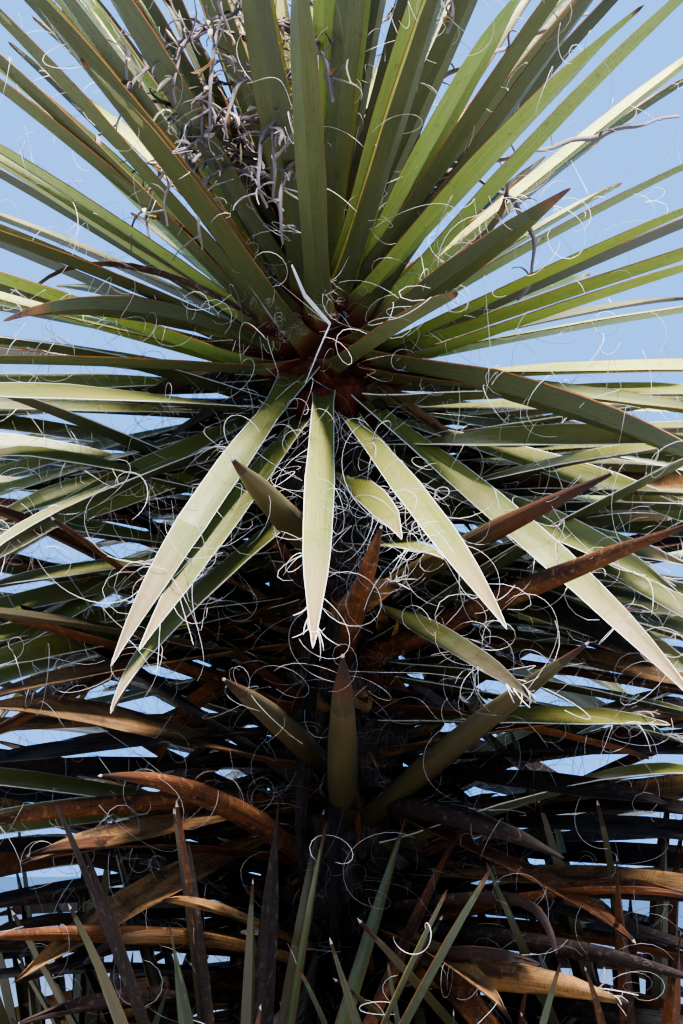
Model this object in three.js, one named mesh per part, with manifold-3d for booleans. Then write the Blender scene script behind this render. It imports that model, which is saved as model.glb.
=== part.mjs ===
// A Mojave yucca: one leafy trunk with its crown, the dry flower stalk of an earlier year, and
// four leafy side shoots that leave the trunk near the ground.
// Millimetres, +Z up. The origin is the centre of the flat cut under the trunk. The front is -Y.
// An azimuth is 0 towards the front and 90 towards +X. Angles are in degrees.
import * as THREE from "three";
import Module from "manifold-3d";

const wasm = await Module();
wasm.setup();
const { Manifold, Mesh: SolidMesh } = wasm;

// The trunk
const FOOT_RADIUS = 128;
const SHAFT_FOOT_RADIUS = 78;
const SHAFT_TOP_RADIUS = 60;
const FLARE_HEIGHT = 380;
const FLARE_POWER = 2.4;
const FLARE_RINGS = 5;
const TRUNK_SIDES = 10;
const LEAN_X = -16; // sideways drift of the axis 1 m up, growing with the square of the height
const LEAN_Y = 8; // backward drift of the axis in each metre of height

// The skirt is every whorl below the crown. The crown's whorls step in towards the tip.
const SKIRT_FOOT = 440;
const SKIRT_PITCH = 55;
const SKIRT_WHORLS = 20;
const SKIRT_LEAVES = 9;
const SKIRT_ELEVATION = [
  [440, -66],
  [560, -54],
  [700, -32],
  [840, -10],
  [960, 3],
  [1100, 12],
  [1250, 6],
  [1360, -3],
  [1440, -12],
  [1520, -20],
  [1540, -14],
];
const SKIRT_LENGTH = [
  [440, 360],
  [700, 420],
  [1000, 460],
  [1300, 480],
  [1540, 530],
];
const SKIRT_DROOP = [
  [440, 12],
  [900, 16],
  [1100, 8],
  [1540, 10],
];
const DEAD_BELOW = 1000;
const CROWN_FIRST_PITCH = 24;
const CROWN_PITCH_LOSS = 1.5;
const CROWN_STEP_IN = 5.7;
const CROWN_ELEVATION = [4, 21, 34, 45, 54, 62, 70, 77, 84];
const CROWN_LEAVES = [9, 9, 9, 9, 9, 8, 8, 6, 4];
const CROWN_LENGTH = 590;
const CROWN_DROOP = 5;

// Side shoots. Each has its azimuth, its reach from the origin, and the heights of its foot and
// of its lowest whorl.
const SHOOTS = [
  { name: "front_left_shoot", azimuth: -24, reach: 290, foot: 60, rosette: 540, radius: 33 },
  { name: "front_shoot", azimuth: 22, reach: 255, foot: 95, rosette: 400, radius: 26 },
  { name: "right_shoot", azimuth: 76, reach: 315, foot: 70, rosette: 570, radius: 36 },
  { name: "left_shoot", azimuth: -98, reach: 320, foot: 80, rosette: 500, radius: 34 },
];
const SHOOT_SIDES = 8;
const SHOOT_RINGS = 6;
const SHOOT_PITCH = 22;
const SHOOT_STEP_IN = 6.5;
const SHOOT_START = 0.5; // where the limb's axis starts, as a share of the trunk's radius
const SHOOT_FOOT_SWELL = 1.2; // the limb's radius at the trunk over its radius at the rosette
const SHOOT_ELEVATION = [22, 44, 61, 77];
const SHOOT_LEAVES = [8, 7, 6, 4];
const SHOOT_LENGTH = 490;
const SHOOT_DROOP = 4;
const SHOOT_SKIRT = { height: 60, leaves: 7, elevation: -28, length: 380, droop: 20 };

// Sheaths, each the ring of leaf bases that joins the leaves of one whorl, and the gaps they keep
const SKIRT_SHEATH = 12;
const THIN_SHEATH = 7;
const SHEATH_TAPER = 0.8;
const SHEATH_GAP = 0.4;
const CLEARANCE = 0.3;
const ROOT_DEPTH = 0.5; // where a leaf starts, as a share of its sheath's thickness
const ROOT_ROOM = 7; // height kept free of leaf roots at each edge of a sheath
const ROOT_ROOM_SHARE = 0.3; // the most of a low sheath's height that this room takes
const ROOT_SLANT = 16; // further room at the edge that a steep leaf passes

// Leaf blades
const GOLDEN_ANGLE = 137.508;
const LEAF_WIDTH = 35;
const KEEL_DEPTH = 0.008; // depth of the keel over the leaf's length
const EDGE_RISE = 0.13; // rise of the edges over the blade's width
const PATH_STEPS = 24;
const LEAF_STATIONS = [
  { place: 0, width: 0.6 },
  { place: 0.46, width: 1 },
  { place: 0.8, width: 0.7 },
];
const ROLL_REACHED = 0.4; // where on its length a blade has turned to its full roll

// Chance between leaves, and how a leaf that would touch its neighbours is turned aside
const AZIMUTH_SPREAD = 14;
const CROWN_SPREAD = 16; // of the elevation
const SKIRT_SPREAD = 34; // of the elevation
const LENGTH_SPREAD = 0.24;
const WIDTH_SPREAD = 0.25;
const DROOP_SPREAD = 1;
const SWING_SPREAD = 16;
const ROLL_SPREAD = 50;
const SEEDS_PER_STEM = 100;
const SEEDS_PER_WHORL = 64;
const TRIES = 24;
const TRY_AZIMUTH = 40;
const TRY_ELEVATION = 34;
const PLACED_ASIDE = 0.2; // how far a placed leaf may be turned aside, as a share of the rest
const LOWEST_LEAF_POINT = 25;
const STEEPEST = 88;

// Leaves with a place of their own, because they show most from the front. Each row is the height
// the leaf leaves the trunk at, its azimuth, elevation, length, width, droop and roll.
const PLACED_LEAVES = [
  [1581, 41, -15, 600, 38, 14, -14],
  [1582, -42, 7, 420, 26, 30, 10],
  [1586, 31, 13, 430, 26, 0, 0],
  [1556, -24, -35, 540, 38, 12, 12],
  [1534, -1, -36, 490, 37, 5, 0],
  [1526, 35, -31, 620, 38, 10, -10],
  [1520, -46, -24, 520, 34, 10, 20],
  [1493, 22, -31, 470, 36, 6, -8],
  [1487, -22, -32, 480, 34, 8, 8],
  [1480, 48, -24, 590, 34, 10, -14],
  [1470, -58, -18, 520, 32, 8, 24],
  [1432, 11, -15, 330, 40, 10, 0],
  [1366, 16, -4, 330, 30, 10, 0],
  [1344, -11, 7, 420, 38, -4, 4],
  [1312, 24, -15, 420, 32, 8, -10],
  [1301, 30, 12, 470, 30, 0, 0],
  [1284, 11, 3, 260, 26, 0, 0],
  [1236, 32, 11, 560, 32, 0, 0],
  [1230, 5, 15, 430, 26, 0, 0],
  [1112, -13, 12, 420, 34, 0, 0],
  [1085, 28, -5, 380, 32, 6, -12],
  [1080, -46, 1, 460, 30, 10, 10],
  [1064, 26, 21, 480, 34, 0, 6],
  [1057, 0, 22, 440, 38, 0, 0],
  [1021, -28, 19, 430, 32, 18, 6],
  [941, 39, -1, 470, 30, 6, -10],
  [928, -42, 7, 480, 28, 6, 8],
  [894, 32, 3, 420, 32, 6, -14],
];
const PLACED_ROOM = 16; // a leaf of the rule this near in azimuth, in the same whorl, gives way

// The dry flower stalk and its side branches
const STALK_RADIUS = [8, 3.5];
const STALK_SIDES = 6;
const STALK_RINGS = 7;
const STALK = { azimuth: 110, elevation: 86, length: 380, droop: 8, swing: 0 };
const BRANCHES = 6;
const BRANCH_PLACES = [0.46, 0.94]; // on the stalk, as shares of its length
const BRANCH_RADIUS = [4.6, 1.8];
const BRANCH_SIDES = 4;
const BRANCH_SEED = 7000;
const BRANCH_RINGS = 6;
const BRANCH_LENGTH = [280, 120];
const BRANCH_ELEVATION = [34, 62];
const BRANCH_DROOP = [20, 90];
const BRANCH_ELEVATION_SPREAD = 20;
const BRANCH_LENGTH_SPREAD = 0.3;
const BRANCH_SWING_SPREAD = 70;

// The branches that show from the front. Each row is the branch's place on the stalk, its azimuth,
// elevation, length, droop and swing.
const PLACED_BRANCHES = [
  [0.16, 88, 13, 435, -4, 14],
  [0.2, 84, 16, 360, 150, -20],
  [0.38, 85, 25, 340, 0, 20],
  [0.3, -85, 18, 270, 20, 30],
  [0.26, -22, 46, 250, 60, 50],
];

const LOOKS = {
  bark: { color: 0x4a3d33, roughness: 0.95, metalness: 0 },
  green_leaf: { color: 0x6f8a3c, roughness: 0.6, metalness: 0 },
  ageing_leaf: { color: 0x8b8a4e, roughness: 0.65, metalness: 0 },
  dead_leaf: { color: 0x8a5a34, roughness: 0.8, metalness: 0 },
  dry_stalk: { color: 0x7b6f68, roughness: 0.9, metalness: 0 },
};

const radians = THREE.MathUtils.degToRad;
const clamp = THREE.MathUtils.clamp;
const mix = THREE.MathUtils.lerp;

// Numbers from 0 to 1, the same each time for one seed.
function dice(seed) {
  let state = seed >>> 0;
  return () => {
    state = (state + 0x6d2b79f5) >>> 0;
    let mixed = Math.imul(state ^ (state >>> 15), state | 1);
    mixed ^= mixed + Math.imul(mixed ^ (mixed >>> 7), mixed | 61);
    return ((mixed ^ (mixed >>> 14)) >>> 0) / 2 ** 32;
  };
}

function wrapped(value, range) {
  return ((value % range) + range) % range;
}

// The value at x on straight lines between pairs of [x, value].
function between(pairs, x) {
  const next = pairs.findIndex(([at]) => at >= x);
  if (next === 0) return pairs[0][1];
  if (next < 0) return pairs[pairs.length - 1][1];
  const [x0, v0] = pairs[next - 1];
  const [x1, v1] = pairs[next];
  return mix(v0, v1, (x - x0) / (x1 - x0));
}

// A direction from its azimuth and elevation, in radians.
function heading(azimuth, elevation) {
  const level = Math.cos(elevation);
  return new THREE.Vector3(
    Math.sin(azimuth) * level,
    -Math.cos(azimuth) * level,
    Math.sin(elevation),
  );
}

// A line that starts at a point and bends as it goes: it droops and swings to the side with the
// square of the way along it. Each step gives the point and the direction there.
function bentPath(start, { azimuth, elevation, length, droop, swing }, steps) {
  const turned = (share) => [
    radians(azimuth + swing * share * share),
    radians(elevation - droop * share * share),
  ];
  const point = start.clone();
  const path = [{ point: point.clone(), turn: turned(0) }];
  for (let i = 0; i < steps; i++) {
    point.addScaledVector(heading(...turned((i + 0.5) / steps)), length / steps);
    path.push({ point: point.clone(), turn: turned((i + 1) / steps) });
  }
  return path;
}

// A closed solid through rings of points, all with the same number of points and all counted
// anticlockwise about the way from the first ring to the last. A tip ends it in one point.
function loft(rings, tip) {
  const count = rings[0].length;
  const points = tip ? [...rings.flat(), tip] : rings.flat();
  const triangles = [];
  for (let r = 0; r + 1 < rings.length; r++)
    for (let i = 0; i < count; i++) {
      const here = r * count + i;
      const beside = r * count + ((i + 1) % count);
      triangles.push(here, beside, beside + count, here, beside + count, here + count);
    }
  for (let i = 1; i + 1 < count; i++) triangles.push(0, i + 1, i);
  const last = (rings.length - 1) * count;
  if (tip)
    for (let i = 0; i < count; i++)
      triangles.push(last + i, last + ((i + 1) % count), points.length - 1);
  else for (let i = 1; i + 1 < count; i++) triangles.push(last, last + i, last + i + 1);
  return new Manifold(
    new SolidMesh({
      numProp: 3,
      vertProperties: new Float32Array(points.flatMap((p) => p.toArray())),
      triVerts: new Uint32Array(triangles),
    }),
  );
}

// Joins solids into one body. A hollow that the joining seals is filled.
function fused(solids) {
  const bodies = Manifold.union(solids).decompose();
  return bodies.reduce((most, body) => (body.volume() > most.volume() ? body : most));
}

function levelRing(centre, radius, sides) {
  const ring = [];
  for (let i = 0; i < sides; i++) {
    const turn = (2 * Math.PI * i) / sides;
    const out = new THREE.Vector3(Math.cos(turn), Math.sin(turn), 0);
    ring.push(out.multiplyScalar(radius).add(centre));
  }
  return ring;
}

// How far the flat sides of a levelRing lie within its circle at an azimuth, as a factor.
function flatness(azimuth, sides) {
  const side = (2 * Math.PI) / sides;
  const turn = wrapped(radians(azimuth) - Math.PI / 2, side);
  return Math.cos(side / 2) / Math.cos(turn - side / 2);
}

// A tapering round limb along a bent path.
function limb(path, [first, last], sides) {
  const rings = path.map(({ point, turn }, r) => {
    const forward = heading(...turn);
    const side = new THREE.Vector3(Math.cos(turn[0]), Math.sin(turn[0]), 0);
    const up = forward.clone().cross(side);
    const radius = mix(first, last, r / (path.length - 1));
    const ring = [];
    for (let i = 0; i < sides; i++) {
      const angle = (2 * Math.PI * i) / sides;
      ring.push(
        point
          .clone()
          .addScaledVector(side, radius * Math.cos(angle))
          .addScaledVector(up, radius * Math.sin(angle)),
      );
    }
    return ring;
  });
  return loft(rings);
}

// The trunk, as a stem: its axis and radius by height, its bare rings and its whorls.
function crownHeights() {
  const heights = [SKIRT_FOOT + SKIRT_PITCH * SKIRT_WHORLS];
  CROWN_ELEVATION.forEach((_, k) =>
    heights.push(heights[k] + CROWN_FIRST_PITCH - CROWN_PITCH_LOSS * k),
  );
  return heights;
}

const CROWN_HEIGHTS = crownHeights();
const CROWN_FOOT = CROWN_HEIGHTS[0];
const TRUNK_TOP = CROWN_HEIGHTS[CROWN_HEIGHTS.length - 1];

function trunkAxis(z) {
  const metres = z / 1000;
  return new THREE.Vector3(LEAN_X * metres * metres, LEAN_Y * metres, z);
}

function trunkRadius(z) {
  if (z > CROWN_FOOT) {
    const steps = CROWN_HEIGHTS.map((height, k) => [height, k]);
    return SHAFT_TOP_RADIUS - CROWN_STEP_IN * between(steps, z);
  }
  const shaft = mix(SHAFT_FOOT_RADIUS, SHAFT_TOP_RADIUS, z / CROWN_FOOT);
  const flare = clamp(1 - z / FLARE_HEIGHT, 0, 1) ** FLARE_POWER;
  return shaft + (FOOT_RADIUS - SHAFT_FOOT_RADIUS) * flare;
}

function skirtWhorl(k) {
  const foot = SKIRT_FOOT + SKIRT_PITCH * k;
  const middle = foot + SKIRT_PITCH / 2;
  return {
    name: "skirt_whorl_" + String(k + 1).padStart(2, "0"),
    foot,
    top: foot + SKIRT_PITCH,
    sheath: SKIRT_SHEATH,
    leaves: SKIRT_LEAVES,
    elevation: between(SKIRT_ELEVATION, middle),
    spread: SKIRT_SPREAD,
    length: between(SKIRT_LENGTH, middle),
    droop: between(SKIRT_DROOP, middle),
    look: middle < DEAD_BELOW ? "dead_leaf" : "ageing_leaf",
  };
}

function crownWhorl(k) {
  return {
    name: "crown_whorl_" + (k + 1),
    foot: CROWN_HEIGHTS[k],
    top: CROWN_HEIGHTS[k + 1],
    sheath: THIN_SHEATH,
    leaves: CROWN_LEAVES[k],
    elevation: CROWN_ELEVATION[k],
    spread: CROWN_SPREAD,
    length: CROWN_LENGTH,
    droop: CROWN_DROOP,
    look: "green_leaf",
  };
}

function trunkStem() {
  const bare = [];
  for (let r = 0; r <= FLARE_RINGS; r++) bare.push((FLARE_HEIGHT * r) / FLARE_RINGS);
  const whorls = [];
  for (let k = 0; k < SKIRT_WHORLS; k++) whorls.push(skirtWhorl(k));
  CROWN_ELEVATION.forEach((_, k) => whorls.push(crownWhorl(k)));
  return { name: "trunk", axis: trunkAxis, radius: trunkRadius, sides: TRUNK_SIDES, bare, whorls };
}

// A side shoot, as a stem. It leaves the trunk's flare outwards and turns up to its rosette.
function shootStem({ name, azimuth, reach, foot, rosette, radius }) {
  const outward = heading(radians(azimuth), 0);
  const start = trunkAxis(foot).addScaledVector(outward, trunkRadius(foot) * SHOOT_START);
  const end = outward.clone().multiplyScalar(reach);
  const rise = (z) => clamp((z - foot) / (rosette - foot), 0, 1);
  const axis = (z) => {
    const out = Math.sin((rise(z) * Math.PI) / 2);
    return new THREE.Vector3(mix(start.x, end.x, out), mix(start.y, end.y, out), z);
  };
  const width = (z) => {
    if (z > rosette) return radius - (SHOOT_STEP_IN * (z - rosette)) / SHOOT_PITCH;
    return radius * mix(SHOOT_FOOT_SWELL, 1, rise(z));
  };
  const bare = [];
  const bareTop = rosette - SHOOT_SKIRT.height;
  for (let r = 0; r < SHOOT_RINGS; r++) bare.push(mix(foot, bareTop, r / SHOOT_RINGS));
  const { height, ...hanging } = SHOOT_SKIRT;
  const skirt = {
    name: name + "_skirt",
    foot: rosette - height,
    top: rosette,
    sheath: SKIRT_SHEATH,
    spread: SKIRT_SPREAD,
    look: "dead_leaf",
    ...hanging,
  };
  const whorls = SHOOT_ELEVATION.map((elevation, k) => ({
    name: name + "_whorl_" + (k + 1),
    foot: rosette + SHOOT_PITCH * k,
    top: rosette + SHOOT_PITCH * (k + 1),
    sheath: THIN_SHEATH,
    leaves: SHOOT_LEAVES[k],
    elevation,
    spread: CROWN_SPREAD,
    length: SHOOT_LENGTH,
    droop: SHOOT_DROOP,
    look: "green_leaf",
  }));
  const stem = { name: name + "_stem", axis, radius: width, sides: SHOOT_SIDES, bare };
  return { ...stem, whorls: [skirt, ...whorls] };
}

// A stem's solid, with a ring at each bare height and at each edge of its whorls.
function stemSolid(stem, spare = 0) {
  const edges = [...stem.whorls.map((whorl) => whorl.foot), stem.whorls.at(-1).top];
  const rings = [...stem.bare, ...edges].map((z) =>
    levelRing(stem.axis(z), stem.radius(z) + spare, stem.sides),
  );
  return loft(rings);
}

function sheathSolid(stem, { foot, top, sheath }) {
  const ring = (z, out) => levelRing(stem.axis(z), stem.radius(z) + out, stem.sides);
  const outer = [
    ring(foot + SHEATH_GAP / 2, sheath * SHEATH_TAPER),
    ring(top - SHEATH_GAP / 2, sheath),
  ];
  const inner = [ring(foot, SHEATH_GAP), ring(top, SHEATH_GAP)];
  return loft(outer).subtract(loft(inner));
}

// One blade: flat above and keeled below, widest near the middle, sharp at the tip.
function bladeSolid(stem, leaf) {
  const outward = heading(radians(leaf.azimuth), 0);
  const circle = stem.radius(leaf.height) + SHEATH_GAP + leaf.sheath * ROOT_DEPTH;
  const flat = flatness(leaf.azimuth, stem.sides);
  const root = stem.axis(leaf.height).addScaledVector(outward, circle * flat);
  const path = bentPath(root, leaf, PATH_STEPS);
  const rings = LEAF_STATIONS.map(({ place, width }) => {
    const { point, turn } = path[Math.round(place * PATH_STEPS)];
    const forward = heading(...turn);
    const side = new THREE.Vector3(Math.cos(turn[0]), Math.sin(turn[0]), 0);
    side.applyAxisAngle(forward, radians(leaf.roll) * Math.min(1, place / ROLL_REACHED));
    const up = forward.clone().cross(side);
    const half = (leaf.width * width) / 2;
    const corner = (across, above) =>
      point.clone().addScaledVector(side, across).addScaledVector(up, above);
    const edge = 2 * half * EDGE_RISE;
    const keel = leaf.length * KEEL_DEPTH * width;
    return [corner(-half, edge), corner(0, -keel), corner(half, edge)];
  });
  return loft(rings, path[PATH_STEPS].point);
}

// Where a leaf's root sits in its whorl, from 0 at the lowest to 1 at the highest.
function rootHeight({ foot, top, sheath }, share, elevation) {
  const room = Math.min(ROOT_ROOM, (top - foot) * ROOT_ROOM_SHARE);
  const slant = sheath > THIN_SHEATH ? ROOT_SLANT * Math.sin(radians(elevation)) : 0;
  return mix(foot + room + Math.max(0, -slant), top - room - Math.max(0, slant), share);
}

// The leaves that the rule gives one whorl. Each has its own dice, which it keeps for later.
function ruleLeaves(whorl, first, seed) {
  const leaves = [];
  for (let i = 0; i < whorl.leaves; i++) {
    const next = dice(seed * SEEDS_PER_WHORL + i);
    const spread = (range) => (next() - 0.5) * range;
    const azimuth = ((first + i) * GOLDEN_ANGLE) % 360;
    leaves.push({
      height: rootHeight(whorl, (i + 0.5) / whorl.leaves, whorl.elevation),
      azimuth: azimuth + spread(AZIMUTH_SPREAD),
      elevation: whorl.elevation + spread(whorl.spread),
      length: whorl.length * (1 + spread(LENGTH_SPREAD)),
      width: LEAF_WIDTH * (1 + spread(WIDTH_SPREAD)),
      droop: whorl.droop * (1 + spread(DROOP_SPREAD)),
      swing: spread(SWING_SPREAD),
      roll: spread(ROLL_SPREAD),
      sheath: whorl.sheath,
      aside: 1,
      next,
    });
  }
  return leaves;
}

function placedLeaves(whorl) {
  return PLACED_LEAVES.filter(([height]) => height >= whorl.foot && height < whorl.top).map(
    ([height, azimuth, elevation, length, width, droop, roll]) => {
      const share = (height - whorl.foot) / (whorl.top - whorl.foot);
      const root = rootHeight(whorl, share, elevation);
      const shape = { height: root, azimuth, elevation, length, width, droop, roll, swing: 0 };
      return { ...shape, sheath: whorl.sheath, aside: PLACED_ASIDE, next: dice(height) };
    },
  );
}

function turnedAside(leaf) {
  const azimuth = leaf.azimuth + (leaf.next() - 0.5) * TRY_AZIMUTH * leaf.aside;
  const elevation = leaf.elevation + (leaf.next() - 0.5) * TRY_ELEVATION * leaf.aside;
  return { ...leaf, azimuth, elevation: Math.min(STEEPEST, elevation) };
}

function angleBetween(a, b) {
  const turn = wrapped(a - b, 360);
  return Math.min(turn, 360 - turn);
}

// What is in place, so that each new leaf keeps clear of it.
const inPlace = [];

function put(solid, owner) {
  inPlace.push({ solid, owner, box: solid.boundingBox() });
}

function isNear(a, b) {
  return [0, 1, 2].every(
    (i) => a.min[i] - CLEARANCE <= b.max[i] && b.min[i] - CLEARANCE <= a.max[i],
  );
}

function isClear(solid, owner) {
  const box = solid.boundingBox();
  if (box.min[2] < LOWEST_LEAF_POINT) return false;
  return !inPlace.some(
    (other) =>
      other.owner !== owner &&
      isNear(box, other.box) &&
      solid.minGap(other.solid, CLEARANCE) < CLEARANCE,
  );
}

// Adds a leaf to its whorl at the first try that is clear, or leaves it out.
function growLeaf(stem, whorl, leaf) {
  let trial = leaf;
  for (let t = 0; t < TRIES; t++) {
    const blade = bladeSolid(stem, trial);
    if (isClear(blade, whorl.name)) {
      put(blade, whorl.name);
      whorl.solids.push(blade);
      return;
    }
    trial = turnedAside(leaf);
  }
}

function startWhorls(stem) {
  let count = 0;
  for (const whorl of stem.whorls) {
    const sheath = sheathSolid(stem, whorl);
    whorl.solids = [sheath];
    whorl.first = count;
    count += whorl.leaves;
    put(sheath, whorl.name);
  }
}

function growWhorl(stem, whorl, seed) {
  const own = stem.name === "trunk" ? placedLeaves(whorl) : [];
  const free = ruleLeaves(whorl, whorl.first, seed).filter(
    (leaf) => !own.some((other) => angleBetween(other.azimuth, leaf.azimuth) < PLACED_ROOM),
  );
  for (const leaf of free) growLeaf(stem, whorl, leaf);
}

// The flower stalk stands on the trunk's tip. Its upper branches go round it by the golden angle.
function stalkSolid() {
  const foot = trunkAxis(TRUNK_TOP).setZ(TRUNK_TOP + CLEARANCE);
  const path = bentPath(foot, STALK, STALK_RINGS);
  path[0].turn = [0, radians(90)];
  const branches = PLACED_BRANCHES.map(([place, azimuth, elevation, length, droop, swing]) => ({
    place,
    azimuth,
    elevation,
    length,
    droop,
    swing,
  }));
  for (let b = 0; b < BRANCHES; b++) {
    const next = dice(BRANCH_SEED + b);
    const spread = (range) => (next() - 0.5) * range;
    const share = b / (BRANCHES - 1);
    branches.push({
      place: mix(...BRANCH_PLACES, share),
      azimuth: b * GOLDEN_ANGLE,
      elevation: mix(...BRANCH_ELEVATION, share) + spread(BRANCH_ELEVATION_SPREAD),
      length: mix(...BRANCH_LENGTH, share) * (1 + spread(BRANCH_LENGTH_SPREAD)),
      droop: mix(...BRANCH_DROOP, next()),
      swing: spread(BRANCH_SWING_SPREAD),
    });
  }
  const pieces = branches.map((branch) => {
    const at = branch.place * STALK_RINGS;
    const low = Math.floor(at);
    const start = path[low].point.clone().lerp(path[low + 1].point, at - low);
    return limb(bentPath(start, branch, BRANCH_RINGS), BRANCH_RADIUS, BRANCH_SIDES);
  });
  return fused([limb(path, STALK_RADIUS, STALK_SIDES), ...pieces]);
}

function meshOf(solid, name, look) {
  const { numProp, vertProperties, triVerts } = solid.getMesh();
  const geometry = new THREE.BufferGeometry();
  geometry.setAttribute("position", new THREE.BufferAttribute(vertProperties, numProp));
  geometry.setIndex(new THREE.BufferAttribute(triVerts, 1));
  geometry.computeVertexNormals();
  const mesh = new THREE.Mesh(geometry, new THREE.MeshStandardMaterial(LOOKS[look]));
  mesh.name = name;
  return mesh;
}

function yucca() {
  const plant = new THREE.Group();
  const trunk = trunkStem();
  const trunkSolid = stemSolid(trunk);
  const clearOfTrunk = stemSolid(trunk, SHEATH_GAP);
  const shoots = SHOOTS.map(shootStem);
  put(trunkSolid, trunk.name);
  plant.add(meshOf(trunkSolid, trunk.name, "bark"));
  for (const shoot of shoots) {
    const solid = stemSolid(shoot).subtract(clearOfTrunk);
    put(solid, shoot.name);
    plant.add(meshOf(solid, shoot.name, "bark"));
  }
  const stalk = stalkSolid();
  put(stalk, "flower_stalk");
  plant.add(meshOf(stalk, "flower_stalk", "dry_stalk"));

  const stems = [trunk, ...shoots];
  stems.forEach(startWhorls);
  for (const whorl of trunk.whorls)
    for (const leaf of placedLeaves(whorl)) growLeaf(trunk, whorl, leaf);
  // The crown grows first, from its tip down, then the shoots, then the skirt.
  const downward = stems.map((stem, s) =>
    stem.whorls.map((whorl, k) => [stem, whorl, SEEDS_PER_STEM * s + k + 1]).reverse(),
  );
  const crown = downward[0].slice(0, CROWN_ELEVATION.length);
  const skirt = downward[0].slice(CROWN_ELEVATION.length);
  for (const [stem, whorl, seed] of [...crown, ...downward.slice(1).flat(), ...skirt])
    growWhorl(stem, whorl, seed);
  for (const stem of stems)
    for (const whorl of stem.whorls)
      plant.add(meshOf(fused(whorl.solids), whorl.name, whorl.look));
  return plant;
}

export default yucca();
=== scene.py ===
"""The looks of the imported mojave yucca.

Bark, leaf blades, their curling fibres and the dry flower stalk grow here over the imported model,
by the rule of the part's source. Metres, +Z up. The front is -Y. An azimuth is 0 towards the front
and 90 towards +X. Angles are in degrees, unless a name says otherwise.
"""

import functools
import math
from dataclasses import dataclass, replace

import bpy
import numpy as np
from bpy.props import FloatProperty, FloatVectorProperty, IntProperty, PointerProperty
from bpy.types import Operator, Panel, PropertyGroup
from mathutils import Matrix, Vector


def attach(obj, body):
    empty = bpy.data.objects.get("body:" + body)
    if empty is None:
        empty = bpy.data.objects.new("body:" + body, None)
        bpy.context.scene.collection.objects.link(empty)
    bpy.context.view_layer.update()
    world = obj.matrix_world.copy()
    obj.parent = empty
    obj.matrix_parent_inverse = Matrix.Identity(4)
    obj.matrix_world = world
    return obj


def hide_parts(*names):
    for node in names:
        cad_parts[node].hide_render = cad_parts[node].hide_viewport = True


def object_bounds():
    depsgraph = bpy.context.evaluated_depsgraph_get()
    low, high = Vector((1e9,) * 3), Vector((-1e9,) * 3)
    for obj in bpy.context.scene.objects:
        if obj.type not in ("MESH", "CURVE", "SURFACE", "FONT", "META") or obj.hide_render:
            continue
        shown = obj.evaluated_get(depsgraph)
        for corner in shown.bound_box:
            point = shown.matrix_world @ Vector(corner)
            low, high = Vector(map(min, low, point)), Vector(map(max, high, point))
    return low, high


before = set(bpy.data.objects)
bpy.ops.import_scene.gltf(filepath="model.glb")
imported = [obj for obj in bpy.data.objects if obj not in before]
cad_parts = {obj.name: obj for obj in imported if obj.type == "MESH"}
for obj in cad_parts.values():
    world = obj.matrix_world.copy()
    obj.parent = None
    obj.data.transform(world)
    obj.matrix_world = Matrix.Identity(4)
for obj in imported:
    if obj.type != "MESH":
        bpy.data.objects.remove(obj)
CAD_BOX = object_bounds()

bl_info = {
    "name": "Mojave yucca",
    "version": (1, 0, 0),
    "blender": (4, 5, 0),
    "location": "View3D > Sidebar > Yucca",
    "description": "Grows the bark, leaves, fibres and flower stalk of a mojave yucca",
    "category": "Add Mesh",
}

# The trunk
FOOT_RADIUS = 0.128
SHAFT_FOOT_RADIUS = 0.078
SHAFT_TOP_RADIUS = 0.060
FLARE_HEIGHT = 0.380
FLARE_POWER = 2.4
TRUNK_SIDES = 10
LEAN_X = -0.016  # sideways drift of the axis 1 m up, growing with the square of the height
LEAN_Y = 0.008  # backward drift of the axis in each metre of height

# The whorls of the skirt and of the crown
SKIRT_FOOT = 0.440
SKIRT_PITCH = 0.055
SKIRT_WHORLS = 20
SKIRT_LEAVES = 9
SKIRT_ELEVATION = (
    (0.440, 0.560, 0.700, 0.840, 0.960, 1.100, 1.250, 1.360, 1.440, 1.520, 1.540),
    (-66, -54, -32, -10, 3, 12, 6, -3, -12, -20, -14),
)
SKIRT_LENGTH = ((0.440, 0.700, 1.000, 1.300, 1.540), (0.360, 0.420, 0.460, 0.480, 0.530))
SKIRT_DROOP = ((0.440, 0.900, 1.100, 1.540), (12, 16, 8, 10))
DEAD_BELOW = 1.000
CROWN_FIRST_PITCH = 0.024
CROWN_PITCH_LOSS = 0.0015
CROWN_STEP_IN = 0.0057
CROWN_ELEVATION = (4, 21, 34, 45, 54, 62, 70, 77, 84)
CROWN_LEAVES = (9, 9, 9, 9, 9, 8, 8, 6, 4)
CROWN_LENGTH = 0.590
CROWN_DROOP = 5

# Side shoots: name, azimuth, reach, height of the foot, height of the lowest whorl, radius
SHOOTS = (
    ("front_left_shoot", -24, 0.290, 0.060, 0.540, 0.033),
    ("front_shoot", 22, 0.255, 0.095, 0.400, 0.026),
    ("right_shoot", 76, 0.315, 0.070, 0.570, 0.036),
    ("left_shoot", -98, 0.320, 0.080, 0.500, 0.034),
)
SHOOT_SIDES = 8
SHOOT_PITCH = 0.022
SHOOT_STEP_IN = 0.0065
SHOOT_START = 0.5
SHOOT_FOOT_SWELL = 1.2
SHOOT_ELEVATION = (22, 44, 61, 77)
SHOOT_LEAVES = (8, 7, 6, 4)
SHOOT_LENGTH = 0.490
SHOOT_DROOP = 4
SHOOT_SKIRT_HEIGHT = 0.060
SHOOT_SKIRT_LEAVES = 7
SHOOT_SKIRT_ELEVATION = -28
SHOOT_SKIRT_LENGTH = 0.380
SHOOT_SKIRT_DROOP = 20

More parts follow.
